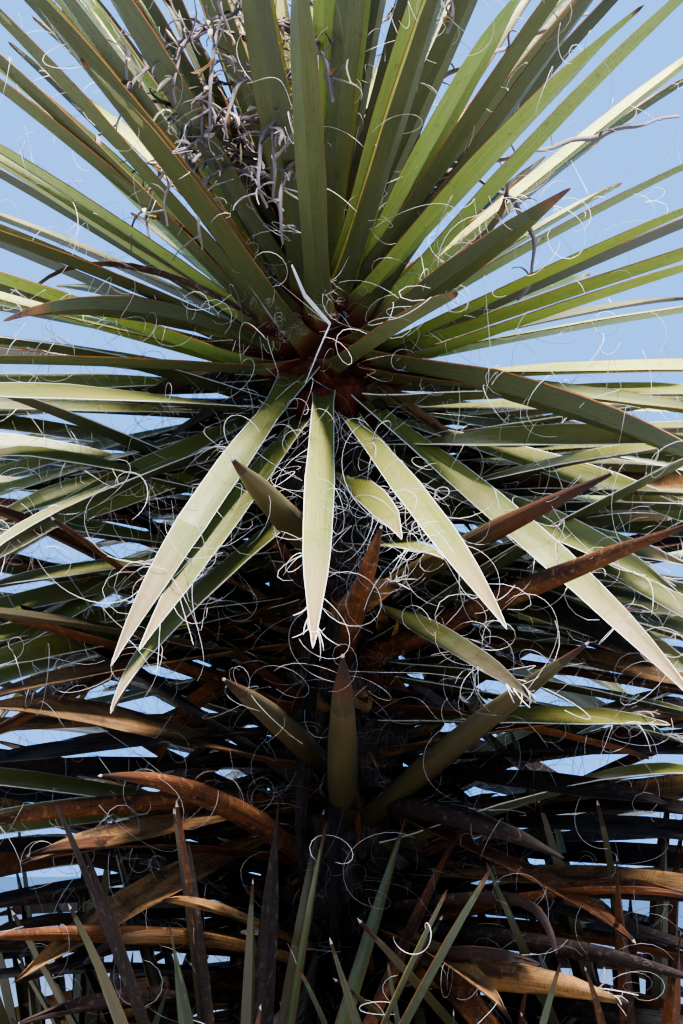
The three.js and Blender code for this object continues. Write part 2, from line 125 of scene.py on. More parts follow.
# The sheath of a whorl, and where a leaf's root sits in it
SKIRT_SHEATH = 0.012
THIN_SHEATH = 0.007
SHEATH_GAP = 0.0004
ROOT_DEPTH = 0.5  # share of the sheath's thickness
ROOT_ROOM = 0.007  # height that is kept free between a root and an end of its whorl
ROOT_ROOM_SHARE = 0.3  # the most of a whorl's height that is kept free so
ROOT_SLANT = 0.016  # height that the root of an upright leaf takes up in a thick sheath

# Leaves. A spread is the whole range of a throw: degrees for an angle, and else a share of the usual.
GOLDEN_ANGLE = 137.508
LEAF_WIDTH = 0.035
PATH_STEPS = 24
ROLL_REACHED = 0.4  # share of the length at which the roll is reached
AZIMUTH_SPREAD = 14
CROWN_SPREAD = 16
SKIRT_SPREAD = 34
LENGTH_SPREAD = 0.24
WIDTH_SPREAD = 0.25
DROOP_SPREAD = 1
SWING_SPREAD = 16
ROLL_SPREAD = 50
SEEDS_PER_STEM = 100
SEEDS_PER_WHORL = 64
TRIES = 24
TRY_AZIMUTH = 40
TRY_ELEVATION = 34
PLACED_ASIDE = 0.2  # how far a placed leaf is turned in a try, as a share of the usual
STEEPEST = 88
PLACED_ROOM = 16  # degrees to each side of a placed leaf that its whorl keeps free
TIP_MATCH = 0.0008  # how near a packed corner must lie to a leaf's tip for the leaf to be packed

# The leaves that show most from the front. The first seven columns are the source's, and the height
# is that at which a leaf leaves the trunk. The tone is partly each leaf's own lightness and partly
# painted shade: the low tones darken leaves that lie in shade.
PLACED_COLUMNS = "height azimuth elevation length width droop roll look dry tone".split()
PLACED_LEAVES = (
    (1.581, 41, -15, 0.600, 0.038, 14, -14, "green", 0.02, 0.9),
    (1.582, -42, 7, 0.420, 0.026, 30, 10, "green", 0.16, 0.8),
    (1.586, 31, 13, 0.430, 0.026, 0, 0, "green", 0.12, 0.8),
    (1.556, -24, -35, 0.540, 0.038, 12, 12, "olive", 0.36, 0.76),
    (1.534, -1, -36, 0.490, 0.037, 5, 0, "olive", 0.36, 1.0),
    (1.526, 35, -31, 0.620, 0.038, 10, -10, "olive", 0.36, 1.0),
    (1.520, -46, -24, 0.520, 0.034, 10, 20, "olive", 0.36, 0.74),
    (1.493, 22, -31, 0.470, 0.036, 6, -8, "olive", 0.36, 1.0),
    (1.487, -22, -32, 0.480, 0.034, 8, 8, "olive", 0.30, 1.0),
    (1.480, 48, -24, 0.590, 0.034, 10, -14, "olive", 0.30, 1.0),
    (1.470, -58, -18, 0.520, 0.032, 8, 24, "olive", 0.30, 1.0),
    (1.432, 11, -15, 0.330, 0.040, 10, 0, "olive", 0.22, 0.95),
    (1.366, 16, -4, 0.330, 0.030, 10, 0, "olive", 0.22, 0.9),
    (1.344, -11, 7, 0.420, 0.038, -4, 4, "ripe", 0.09, 0.8),
    (1.312, 24, -15, 0.420, 0.032, 8, -10, "olive", 0.46, 0.2),
    (1.301, 30, 12, 0.470, 0.030, 0, 0, "ripe", 0.55, 0.8),
    (1.284, 11, 3, 0.260, 0.026, 0, 0, "tan", 0.20, 1.2),
    (1.236, 32, 11, 0.560, 0.032, 0, 0, "orange", 0.10, 0.64),
    (1.230, 5, 15, 0.430, 0.026, 0, 0, "orange", 0.10, 1.0),
    (1.112, -13, 12, 0.420, 0.034, 0, 0, "ripe", 0.16, 0.62),
    (1.085, 28, -5, 0.380, 0.032, 6, -12, "umber", 0.14, 0.62),
    (1.080, -46, 1, 0.460, 0.030, 10, 10, "orange", 0.10, 1.0),
    (1.064, 26, 21, 0.480, 0.034, 0, 6, "ripe", 0.08, 0.61),
    (1.057, 0, 22, 0.440, 0.038, 0, 0, "ripe", 0.27, 0.75),
    (1.021, -28, 19, 0.430, 0.032, 18, 6, "orange", 0.14, 0.9),
    (0.941, 39, -1, 0.470, 0.030, 6, -10, "umber", 0.10, 0.7),
    (0.928, -42, 7, 0.480, 0.028, 6, 8, "orange", 0.10, 0.8),
    (0.894, 32, 3, 0.420, 0.032, 6, -14, "tan", 0.10, 1.0),
)

# The flower stalk: azimuth, elevation, length, droop and swing
STALK = (110, 86, 0.380, 8, 0)
STALK_RADIUS = (0.008, 0.0035)
BRANCHES = 6
BRANCH_PLACES = (0.46, 0.94)
BRANCH_RADIUS = (0.0046, 0.0018)
BRANCH_SEED = 7000
BRANCH_LENGTH = (0.280, 0.120)
BRANCH_ELEVATION = (34, 62)
BRANCH_DROOP = (20, 90)
BRANCH_ELEVATION_SPREAD = 20
BRANCH_LENGTH_SPREAD = 0.3
BRANCH_SWING_SPREAD = 70
# Branches: the place on the stalk, azimuth, elevation, length, droop and swing
PLACED_BRANCHES = (
    (0.16, 88, 13, 0.435, -4, 14),
    (0.2, 84, 16, 0.360, 150, -20),
    (0.38, 85, 25, 0.340, 0, 20),
    (0.3, -85, 18, 0.270, 20, 30),
    (0.26, -22, 46, 0.250, 60, 50),
)
# Branches that the solids leave out, which hang down among the crown's leaves
HANGING_BRANCHES = (
    (0.55, -30, 15, 0.420, 125, 30),
    (0.34, -38, 5, 0.340, 105, -20),
    (0.75, -14, 25, 0.440, 145, -45),
    (0.46, -58, 12, 0.300, 120, 60),
    (0.86, 20, 10, 0.340, 120, 40),
    (0.20, -60, 22, 0.260, 110, 60),
    (0.30, -20, 34, 0.300, 135, -30),
    (0.42, -44, 36, 0.340, 140, 20),
    (0.52, -12, 12, 0.300, 100, 50),
    (0.66, -52, 0, 0.360, 90, -40),
    (0.06, -40, 30, 0.300, 150, 20),
    (0.10, -58, 34, 0.300, 150, -30),
    (0.14, -18, 36, 0.320, 155, 30),
    (0.18, -80, 38, 0.260, 140, 40),
    (0.24, -8, 26, 0.340, 150, -40),
    (0.05, -4, 34, 0.300, 155, -30),
)

# The bleached, broken leaf that hangs in front of the crown's foot
SLIVER_POINTS = (
    (-0.072, -0.150, 1.652),
    (-0.058, -0.166, 1.616),
    (-0.031, -0.176, 1.583),
    (-0.043, -0.170, 1.556),
    (-0.057, -0.156, 1.524),
)
SLIVER_WIDTH = 0.0075
SLIVER_STEPS = 21
SLIVER_BULGE = (0.35, math.pi - 0.2)  # the stretch of a sine wave that its width follows
SLIVER_NARROWEST = 0.25

# The photograph's camera
CAMERA_PLACE = (-0.019, -2.6, 1.13)
CAMERA_PITCH = 6
LONG_SIDE = 1024  # pixels of the photograph's long side
FOCAL_PIXELS = 2340
SENSOR = 36


# Chance, and numbers between others

def dice(seed):
    """A function that gives numbers from 0 to 1, the same each time for one seed."""
    state = int(seed) & 0xFFFFFFFF

    def throw():
        nonlocal state
        state = (state + 0x6D2B79F5) & 0xFFFFFFFF
        mixed = ((state ^ (state >> 15)) * (state | 1)) & 0xFFFFFFFF
        mixed ^= (mixed + (mixed ^ (mixed >> 7)) * (mixed | 61)) & 0xFFFFFFFF
        return (mixed ^ (mixed >> 14)) / 2**32

    return throw


def mix(first, last, share):
    return first + (last - first) * share


def spread(throw, reach):
    """A number within half a reach of 0."""
    return (throw() - 0.5) * reach


def thrown(throw, ranges):
    """A number from each range, by name, with one throw for each."""
    return {name: mix(*ends, throw()) for name, ends in ranges.items()}


def between(pairs, value):
    """The number at a value on straight lines through (values, numbers)."""
    return float(np.interp(value, *pairs))


def paint(red, green, blue):
    """Blender's light values of a screen colour that is told in numbers from 0 to 255."""
    return tuple(((part / 255 + 0.055) / 1.055) ** 2.4 for part in (red, green, blue))


def heading(azimuth, elevation):
    """Directions from azimuths and elevations in radians."""
    level = np.cos(elevation)
    return np.stack(
        [np.sin(azimuth) * level, -np.cos(azimuth) * level, np.sin(elevation) + 0 * level], axis=-1
    )


def level_way(azimuth):
    """The level direction of an azimuth in degrees."""
    return heading(math.radians(azimuth), 0.0)


# The stems and their whorls, as in the source

@dataclass(frozen=True)
class Whorl:
    """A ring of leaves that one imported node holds."""

    node: str
    foot: float
    top: float
    sheath: float
    leaves: int
    elevation: float
    spread: float
    length: float
    droop: float
    kind: str


@dataclass(frozen=True)
class Stem:
    """A trunk or shoot: its axis and radius by height, and its whorls from the lowest up."""

    name: str
    axis: object
    radius: object
    sides: int
    foot: float
    whorls: tuple

    @property
    def top(self):
        return self.whorls[-1].top


def crown_heights():
    heights = [SKIRT_FOOT + SKIRT_PITCH * SKIRT_WHORLS]
    for k in range(len(CROWN_ELEVATION)):
        heights.append(heights[k] + CROWN_FIRST_PITCH - CROWN_PITCH_LOSS * k)
    return heights


CROWN_HEIGHTS = crown_heights()
CROWN_FOOT = CROWN_HEIGHTS[0]
TRUNK_TOP = CROWN_HEIGHTS[-1]


def trunk_axis(z):
    return np.array([LEAN_X * z * z, LEAN_Y * z, z])


def trunk_radius(z):
    if z > CROWN_FOOT:
        return SHAFT_TOP_RADIUS - CROWN_STEP_IN * np.interp(z, CROWN_HEIGHTS, range(len(CROWN_HEIGHTS)))
    shaft = mix(SHAFT_FOOT_RADIUS, SHAFT_TOP_RADIUS, z / CROWN_FOOT)
    flare = min(max(1 - z / FLARE_HEIGHT, 0), 1) ** FLARE_POWER
    return shaft + (FOOT_RADIUS - SHAFT_FOOT_RADIUS) * flare


def rosette_whorls(node, heights, elevations, leaves, length, droop):
    """The whorls of living leaves between heights, from the lowest up."""
    return [
        Whorl(
            node=f"{node}_{k + 1}", kind="green", foot=heights[k], top=heights[k + 1],
            sheath=THIN_SHEATH, leaves=leaves[k], elevation=elevations[k], spread=CROWN_SPREAD,
            length=length, droop=droop,
        )
        for k in range(len(leaves))
    ]


def trunk_stem():
    whorls = []
    for k in range(SKIRT_WHORLS):
        foot = SKIRT_FOOT + SKIRT_PITCH * k
        middle = foot + SKIRT_PITCH / 2
        whorls.append(
            Whorl(
                node=f"skirt_whorl_{k + 1:02d}", kind="dead" if middle < DEAD_BELOW else "ageing",
                foot=foot, top=foot + SKIRT_PITCH, sheath=SKIRT_SHEATH, leaves=SKIRT_LEAVES,
                elevation=between(SKIRT_ELEVATION, middle), spread=SKIRT_SPREAD,
                length=between(SKIRT_LENGTH, middle), droop=between(SKIRT_DROOP, middle),
            )
        )
    whorls += rosette_whorls(
        "crown_whorl", CROWN_HEIGHTS, CROWN_ELEVATION, CROWN_LEAVES, CROWN_LENGTH, CROWN_DROOP
    )
    return Stem("trunk", trunk_axis, trunk_radius, TRUNK_SIDES, 0.0, tuple(whorls))


def shoot_stem(name, azimuth, reach, foot, rosette, radius):
    outward = level_way(azimuth)
    start = trunk_axis(foot) + outward * trunk_radius(foot) * SHOOT_START
    end = outward * reach

    def rise(z):
        return min(max((z - foot) / (rosette - foot), 0), 1)

    def axis(z):
        out = math.sin(rise(z) * math.pi / 2)
        return np.array([mix(start[0], end[0], out), mix(start[1], end[1], out), z])

    def width(z):
        if z > rosette:
            return radius - SHOOT_STEP_IN * (z - rosette) / SHOOT_PITCH
        return radius * mix(SHOOT_FOOT_SWELL, 1, rise(z))

    whorls = [
        Whorl(
            node=f"{name}_skirt", kind="dead", foot=rosette - SHOOT_SKIRT_HEIGHT, top=rosette,
            sheath=SKIRT_SHEATH, leaves=SHOOT_SKIRT_LEAVES, elevation=SHOOT_SKIRT_ELEVATION,
            spread=SKIRT_SPREAD, length=SHOOT_SKIRT_LENGTH, droop=SHOOT_SKIRT_DROOP,
        )
    ]
    heights = [rosette + SHOOT_PITCH * k for k in range(len(SHOOT_LEAVES) + 1)]
    whorls += rosette_whorls(
        f"{name}_whorl", heights, SHOOT_ELEVATION, SHOOT_LEAVES, SHOOT_LENGTH, SHOOT_DROOP
    )
    return Stem(name, axis, width, SHOOT_SIDES, foot, tuple(whorls))


TRUNK = trunk_stem()
SHOOT_STEMS = tuple(shoot_stem(*row) for row in SHOOTS)
STEMS = (TRUNK, *SHOOT_STEMS)


# Leaves, by the source's rule

@dataclass(frozen=True)
class Leaf:
    """One leaf: where it starts, how it bends, and what it looks like."""

    root: np.ndarray
    azimuth: float
    elevation: float
    length: float
    width: float
    droop: float
    swing: float
    roll: float
    look: str = "green"
    dry: float = 0.03  # share of the length that is dry at the tip
    # The tone is each leaf's own lightness, and also painted shade on leaves that lie in shade.
    tone: float = 1.0  # how light the colours are
    curl: float = 0.0  # how far the end bends down, past the droop
    curl_start: float = 0.7  # share of the length at which the curl starts
    twist: float = 0.0
    channel: float = 1.0  # how far the section bends round, times the usual
    flare: float = 0.0  # how much wider the foot is than by the usual shape
    thick: float = 1.0
    fibres: float = 6  # how many peel off the margins
    frays: int = 0  # splinters at the worn end


@dataclass(frozen=True)
class Sprout:
    """A leaf's numbers before its place on the stem is worked out, and its own dice."""

    height: float
    azimuth: float
    elevation: float
    length: float
    width: float
    droop: float
    swing: float
    roll: float
    sheath: float
    aside: float
    throw: object
    look: str = ""
    dry: float = 0.0
    tone: float = 1.0


def flatness(azimuth, sides):
    """How far the flat sides of a stem's ring lie within its circle at an azimuth, as a factor."""
    side = 2 * math.pi / sides
    turn = (math.radians(azimuth) - math.pi / 2) % side
    return math.cos(side / 2) / math.cos(turn - side / 2)


def root_height(whorl, share, elevation):
    room = min(ROOT_ROOM, (whorl.top - whorl.foot) * ROOT_ROOM_SHARE)
    slant = ROOT_SLANT * math.sin(math.radians(elevation)) if whorl.sheath > THIN_SHEATH else 0
    return mix(whorl.foot + room + max(0, -slant), whorl.top - room - max(0, slant), share)


def root_of(stem, sprout):
    outward = level_way(sprout.azimuth)
    circle = stem.radius(sprout.height) + SHEATH_GAP + sprout.sheath * ROOT_DEPTH
    return stem.axis(sprout.height) + outward * circle * flatness(sprout.azimuth, stem.sides)


def rule_sprouts(whorl, first, seed, leaves, shrink=(1, 1)):
    """The leaves that the rule gives a whorl. Shrink scales their length and width."""
    sprouts = []
    for i in range(leaves):
        throw = dice(seed * SEEDS_PER_WHORL + i)
        sprouts.append(
            Sprout(
                height=root_height(whorl, (i + 0.5) / leaves, whorl.elevation),
                azimuth=((first + i) * GOLDEN_ANGLE) % 360 + spread(throw, AZIMUTH_SPREAD),
                elevation=whorl.elevation + spread(throw, whorl.spread),
                length=whorl.length * (1 + spread(throw, LENGTH_SPREAD)) * shrink[0],
                width=LEAF_WIDTH * (1 + spread(throw, WIDTH_SPREAD)) * shrink[1],
                droop=whorl.droop * (1 + spread(throw, DROOP_SPREAD)),
                swing=spread(throw, SWING_SPREAD), roll=spread(throw, ROLL_SPREAD),
                sheath=whorl.sheath, aside=1, throw=throw,
            )
        )
    return sprouts


def placed_sprouts(whorl):
    sprouts = []
    for row in PLACED_LEAVES:
        numbers = dict(zip(PLACED_COLUMNS, row))
        height = numbers.pop("height")
        if whorl.foot <= height < whorl.top:
            share = (height - whorl.foot) / (whorl.top - whorl.foot)
            sprouts.append(
                Sprout(
                    height=root_height(whorl, share, numbers["elevation"]), swing=0,
                    sheath=whorl.sheath, aside=PLACED_ASIDE, throw=dice(round(height * 1000)), **numbers,
                )
            )
    return sprouts


def turned_aside(sprout):
    azimuth = sprout.azimuth + spread(sprout.throw, TRY_AZIMUTH) * sprout.aside
    elevation = sprout.elevation + spread(sprout.throw, TRY_ELEVATION) * sprout.aside
    return replace(sprout, azimuth=azimuth, elevation=min(STEEPEST, elevation))


def angle_between(a, b):
    turn = (a - b) % 360
    return min(turn, 360 - turn)


BEND_NUMBERS = ("azimuth", "elevation", "length", "width", "droop", "swing", "roll")
SHAPE_NUMBERS = (*BEND_NUMBERS, "curl", "curl_start", "twist", "channel", "flare", "thick")


def straight_leaf(stem, sprout, **looks):
    """The leaf of a sprout as the source bends it, with its looks."""
    bend = {name: getattr(sprout, name) for name in BEND_NUMBERS}
    return Leaf(root=root_of(stem, sprout), **bend, **looks)


def stacked(leaves):
    """The leaves' numbers as columns, one row a leaf, and their roots."""
    columns = {
        name: np.array([[getattr(leaf, name)] for leaf in leaves], float) for name in SHAPE_NUMBERS
    }
    columns["root"] = np.array([leaf.root for leaf in leaves])
    return columns


def turns(leaves, shares):
    """Azimuth and elevation in radians at shares of the way along each leaf."""
    late = np.clip((shares - leaves["curl_start"]) / (1 - leaves["curl_start"]), 0, 1)
    azimuth = leaves["azimuth"] + leaves["swing"] * shares * shares
    elevation = leaves["elevation"] - leaves["droop"] * shares * shares - leaves["curl"] * late**1.5
    return np.radians(azimuth), np.radians(elevation)


def middle_lines(leaves, shares):
    """Points at shares of the way along each leaf's middle line."""
    middles = (np.arange(PATH_STEPS) + 0.5) / PATH_STEPS
    steps = heading(*turns(leaves, middles)) * (leaves["length"] / PATH_STEPS)[:, :, None]
    root = leaves["root"][:, None]
    points = np.concatenate([root, root + np.cumsum(steps, axis=1)], axis=1)
    at = np.asarray(shares) * PATH_STEPS
    low = np.minimum(at.astype(int), PATH_STEPS - 1)
    rest = (at - low)[None, :, None]
    return points[:, low] * (1 - rest) + points[:, low + 1] * rest


def mesh_points(node):
    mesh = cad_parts[node].data
    points = np.zeros(len(mesh.vertices) * 3, np.float32)
    mesh.vertices.foreach_get("co", points)
    return points.reshape(-1, 3).astype(float)


def as_grown(stem, whorl, sprouts):
    """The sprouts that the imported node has, each turned aside as it is there."""
    points = mesh_points(whorl.node)
    grown = []
    for sprout in sprouts:
        trial = sprout
        for _ in range(TRIES):
            tip = middle_lines(stacked([straight_leaf(stem, trial)]), [1.0])[0, 0]
            if np.abs(points - tip).max(axis=1).min() < TIP_MATCH:
                grown.append(trial)
                break
            trial = turned_aside(sprout)
    return grown


# Looks of leaves, with their weights: of the skirt from a height up, of its front, of the crown and of
# the side shoots
SKIRT_LOOKS = (
    (0.0, (("orange", 0.22), ("umber", 0.36), ("grey", 0.18), ("tan", 0.16), ("ripe", 0.08))),
    (1.0, (("olive", 0.36), ("orange", 0.18), ("umber", 0.24), ("tan", 0.14), ("grey", 0.08))),
    (1.17, (("olive", 0.66), ("orange", 0.12), ("tan", 0.1), ("umber", 0.07), ("grey", 0.05))),
    (1.34, (("olive", 0.96), ("tan", 0.04))),
    (1.44, (("olive", 1),)),
)
FRONT_LOOKS = (("olive", 0.8), ("ripe", 0.2))
# The crown's light green leaves are painted light: the sun shining through them, in lighter colours than
# the green ones.
CROWN_LOOKS = (("green", 0.7), ("lime", 0.3))
SHOOT_LOOKS = (("green", 0.3), ("ripe", 0.3), ("umber", 0.24), ("orange", 0.16))
LOOK_SEED = 500_000
TONES = (0.64, 1.22)
SHADED_TONE = 0.76  # of ageing leaves below a height, in the shade of those above
SHADED_BELOW = 1.34
LOOK_ROOM = 0.01  # how far under its height a look of the skirt may begin
FRONT = 40  # degrees to each side of the front, where the placed leaves are
FRONT_HEIGHTS = (0.98, 1.60)

# By kind of leaf: the share that is dry at the tip, the most that an end curls and a blade twists, how
# far blades turn their tops to the front, the fold and the fibres
KIND_DRY = {"green": (0.02, 0.06), "ageing": (0.05, 0.2), "dead": (0.1, 0.35)}
KIND_CURL = {"green": 10, "ageing": 26, "dead": 110}
KIND_TWIST = {"green": 24, "ageing": 56, "dead": 140}
KIND_LEAN = {"green": 12, "ageing": 52, "dead": 24}
KIND_CHANNEL = {"green": (1.1, 2.3), "ageing": (0.7, 1.5), "dead": (0.8, 2.8)}
KIND_FIBRES = {"green": 6, "ageing": 8, "dead": 2.5}
CURLED_SHARE = 0.35
CURL_STARTS = (0.5, 0.85)
CROWN_FLARE = 0.9

# Numbers that a leaf's own are replaced by or multiplied by: on side shoots, and for the skirt's own
# leaves at the front, which hang down behind the placed ones. The lower tone of both is painted shade:
# the shoots lie under the skirt, and the hanging leaves in its shade.
SHOOT_SHARES = {"width": 0.66, "tone": 0.72}
SHOOT_FIBRES = 2
HANGING = {"look": "umber", "dry": 0.05, "curl": 45, "curl_start": 0.1, "channel": 2}
HANGING_SHARES = {"tone": 0.5, "length": 0.72, "width": 0.48, "twist": 3}
HANGING_ELEVATION = -60
HANGING_SPREAD = 0.4

# Placed leaves: flat ones, and ones that are folded into cones or stubs
FLAT = {"channel": 1, "thick": 1.1, "fibres": 27}
FOLDED = {"channel": 7.5, "fibres": 9}
PLACED_TURN = {"olive": 62, "green": -70}  # how far flat ones turn their tops to the front
PLACED_WIDEN = {"olive": 0.86, "green": 1.15, "tan": 2.3}
FOLDED_WIDEN = 1.55
STUB_FRAYS = 9


def chosen(pairs, share):
    """The name at a share of the way through names with weights."""
    total = 0
    for name, weight in pairs:
        total += weight
        if share < total:
            return name
    return pairs[-1][0]


def in_front(whorl, azimuth):
    """True where the placed leaves show best, so that others there should stay plain."""
    return FRONT_HEIGHTS[0] < whorl.foot < FRONT_HEIGHTS[1] and angle_between(azimuth, 0) < FRONT


def looks_of(stem, whorl, azimuth):
    """The looks with their weights that a leaf of a whorl may have."""
    if whorl.kind == "green":
        return CROWN_LOOKS if stem is TRUNK else SHOOT_LOOKS
    if stem is TRUNK and in_front(whorl, azimuth):
        return FRONT_LOOKS
    return [looks for height, looks in SKIRT_LOOKS if whorl.foot + LOOK_ROOM >= height][-1]


def resized(leaf, shares):
    """The leaf with some of its numbers multiplied."""
    return replace(leaf, **{name: getattr(leaf, name) * share for name, share in shares.items()})


def hanging(leaf):
    """A leaf of the skirt's front that hangs in the shade, clear of the placed ones."""
    elevation = HANGING_ELEVATION + leaf.elevation * HANGING_SPREAD
    return replace(resized(leaf, HANGING_SHARES), elevation=elevation, **HANGING)


def placed(leaf, sprout):
    """A placed leaf with the looks of its row, flat or folded."""
    look = sprout.look
    leaf = resized(leaf, {"width": PLACED_WIDEN.get(look, FOLDED_WIDEN)})
    leaf = replace(leaf, look=look, dry=sprout.dry, tone=sprout.tone, curl=0, twist=0)
    if look in TWO_SIDED:
        roll = PLACED_TURN[look] * math.sin(math.radians(sprout.azimuth))
        return replace(leaf, roll=roll, **FLAT)
    return replace(leaf, frays=STUB_FRAYS if look == "tan" else 0, **FOLDED)


def dressed(stem, whorl, sprout, number):
    """A leaf with its looks thrown by its own dice, which the source's rule doesn't use."""
    throw = dice(LOOK_SEED + number)
    kind = whorl.kind
    lean = KIND_LEAN[kind] * math.sin(math.radians(sprout.azimuth))
    shade = SHADED_TONE if kind == "ageing" and whorl.foot < SHADED_BELOW else 1
    leaf = straight_leaf(
        stem, sprout,
        look=chosen(looks_of(stem, whorl, sprout.azimuth), throw()),
        dry=mix(*KIND_DRY[kind], throw() ** 2),
        curl=KIND_CURL[kind] * throw() if throw() < CURLED_SHARE else 0,
        twist=spread(throw, KIND_TWIST[kind]) + lean,
        tone=mix(*TONES, throw()) * shade,
        curl_start=mix(*CURL_STARTS, throw()),
        channel=mix(*KIND_CHANNEL[kind], throw()),
        flare=CROWN_FLARE if kind == "green" else 0,
        fibres=KIND_FIBRES[kind],
    )
    if sprout.look:
        return placed(leaf, sprout)
    if stem is not TRUNK:
        return replace(resized(leaf, SHOOT_SHARES), fibres=SHOOT_FIBRES)
    if kind != "green" and angle_between(sprout.azimuth, 0) < FRONT / 2:
        return hanging(leaf)
    return leaf


# Odd leaves at the crown's foot that the solids leave out
ODD_COLUMNS = "height azimuth elevation length width droop roll curl look dry tone frays".split()
ODD_LEAVES = (
    (1.600, -64, 26, 0.330, 0.013, 62, 20, 20, "umber", 0.30, 3.0, 0),
    (1.592, 62, 34, 0.255, 0.022, -4, 20, -60, "green", 0.20, 0.7, 0),
    (1.560, 48, -36, 0.200, 0.020, -6, 20, 0, "tan", 0.20, 0.7, 0),
    (1.578, -60, -18, 0.190, 0.024, 0, -50, 30, "umber", 0.30, 1.6, 0),
    (1.552, -80, 4, 0.245, 0.034, -6, -30, 0, "olive", 0.20, 1.0, 70),
    (1.545, -72, -2, 0.500, 0.032, 4, -40, 0, "olive", 0.10, 0.9, 0),
    (1.532, -96, -1, 0.520, 0.034, 6, -34, 0, "olive", 0.12, 0.7, 0),
    (1.518, -84, 2, 0.540, 0.033, 5, -48, 0, "olive", 0.10, 1.1, 0),
    (1.506, -66, 0, 0.500, 0.032, 8, -30, 0, "olive", 0.14, 0.8, 0),
)
ODD_CHANNEL = 1.6


def odd_leaves():
    leaves = []
    for row in ODD_LEAVES:
        numbers = dict(zip(ODD_COLUMNS, row))
        height = numbers.pop("height")
        root = trunk_axis(height) + level_way(numbers["azimuth"]) * trunk_radius(height)
        leaves.append(Leaf(root=root, swing=0, channel=ODD_CHANNEL, **numbers))
    return leaves


# More leaves than the solids have, between theirs and within their reach
EXTRA_SEED = 9_000
EXTRA_TRIES = 8
EXTRA_SHRINK = {"green": (0.9, 0.86), "ageing": (0.92, 1.0), "dead": (0.86, 0.9)}
MORE_OF_KIND = {"green": 1.05, "ageing": 2.0, "dead": 1.6}
CLEAR_SHARES = np.linspace(0.3, 1, 15)  # shares of the length at which leaves are kept apart
CLEAR_DISTANCE = 0.008
GROUND_ROOM = 0.02
# The crown's level whorls are open before the placed leaves, its steeper ones before the tangled
# twigs, and all but its steepest at the right. The skirt is open in a band at its sides.
LEVEL_BELOW = 40
TANGLE_AZIMUTH = -28
TANGLE_SPREAD = 34
OPEN_BELOW = 65
OPEN_AZIMUTH = 88
OPEN_SPREAD = 36
BAND_HEIGHTS = (1.08, 1.22)
BAND_SPREAD = 42
# At the sides the top of the skirt stands nearly level, and closes the gap below the crown
SIDE_RISE = 13
SIDE_FROM = 50
SIDE_ABOVE = 1.34


class Crowd:
    """The middle lines of the leaves in place, so that a new one can keep clear of them."""

    def __init__(self):
        self.points = np.zeros((0, 3))

    def add(self, leaves):
        if leaves:
            lines = middle_lines(stacked(leaves), CLEAR_SHARES)
            self.points = np.concatenate([self.points, lines.reshape(-1, 3)])

    def is_clear(self, leaf):
        line = middle_lines(stacked([leaf]), CLEAR_SHARES)[0]
        low = line.min(axis=0) - CLEAR_DISTANCE
        high = line.max(axis=0) + CLEAR_DISTANCE
        near = self.points[((self.points > low) & (self.points < high)).all(axis=1)]
        gaps = np.linalg.norm(near[:, None] - line[None], axis=2)
        return gaps.size == 0 or gaps.min() > CLEAR_DISTANCE


def is_open(whorl, azimuth):
    """True where a whorl gets no more leaves than the solids have."""
    if whorl.node.startswith("crown"):
        level = whorl.elevation < LEVEL_BELOW
        before_twigs = not level and angle_between(azimuth, TANGLE_AZIMUTH) < TANGLE_SPREAD
        at_right = whorl.elevation < OPEN_BELOW and angle_between(azimuth, OPEN_AZIMUTH) < OPEN_SPREAD
        return before_twigs or at_right or (level and angle_between(azimuth, 0) < FRONT)
    if whorl.node.startswith("skirt"):
        at_side = abs(angle_between(azimuth, 0) - 90) < BAND_SPREAD
        in_band = BAND_HEIGHTS[0] < whorl.foot < BAND_HEIGHTS[1]
        return (at_side and in_band) or in_front(whorl, azimuth)
    return False


def inside_box(leaf):
    """True if a leaf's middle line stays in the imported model's box and off the ground."""
    line = middle_lines(stacked([leaf]), CLEAR_SHARES)[0]
    low = np.array(CAD_BOX[0]) + (0, 0, GROUND_ROOM)
    return (line > low).all() and (line < np.array(CAD_BOX[1])).all()


def kept_low(sprout, whorl):
    """The sprout, no steeper than the rule lets the leaves of its whorl be."""
    return replace(sprout, elevation=min(sprout.elevation, whorl.elevation + whorl.spread / 2))


def raised(sprout, whorl):
    """The sprout, raised if it stands at the side of the skirt's top."""
    at_side = angle_between(sprout.azimuth, 0) > SIDE_FROM
    if whorl.node.startswith("skirt") and whorl.foot > SIDE_ABOVE and at_side:
        return replace(sprout, elevation=sprout.elevation + SIDE_RISE)
    return sprout


def numbered_whorls():
    """Each whorl with its stem, the number of leaves under it on that stem, and a seed of its own."""
    for s, stem in enumerate(STEMS):
        first = 0
        for k, whorl in enumerate(stem.whorls):
            yield stem, whorl, first, SEEDS_PER_STEM * s + k
            first += whorl.leaves


def source_sprouts(stem, whorl, first, seed):
    """The leaves that the source gives a whorl: placed ones, and those of the rule clear of them."""
    own = placed_sprouts(whorl) if stem is TRUNK else []
    rule = rule_sprouts(whorl, first, seed, whorl.leaves)
    free = [
        sprout
        for sprout in rule
        if all(angle_between(other.azimuth, sprout.azimuth) >= PLACED_ROOM for other in own)
    ]
    return own + free


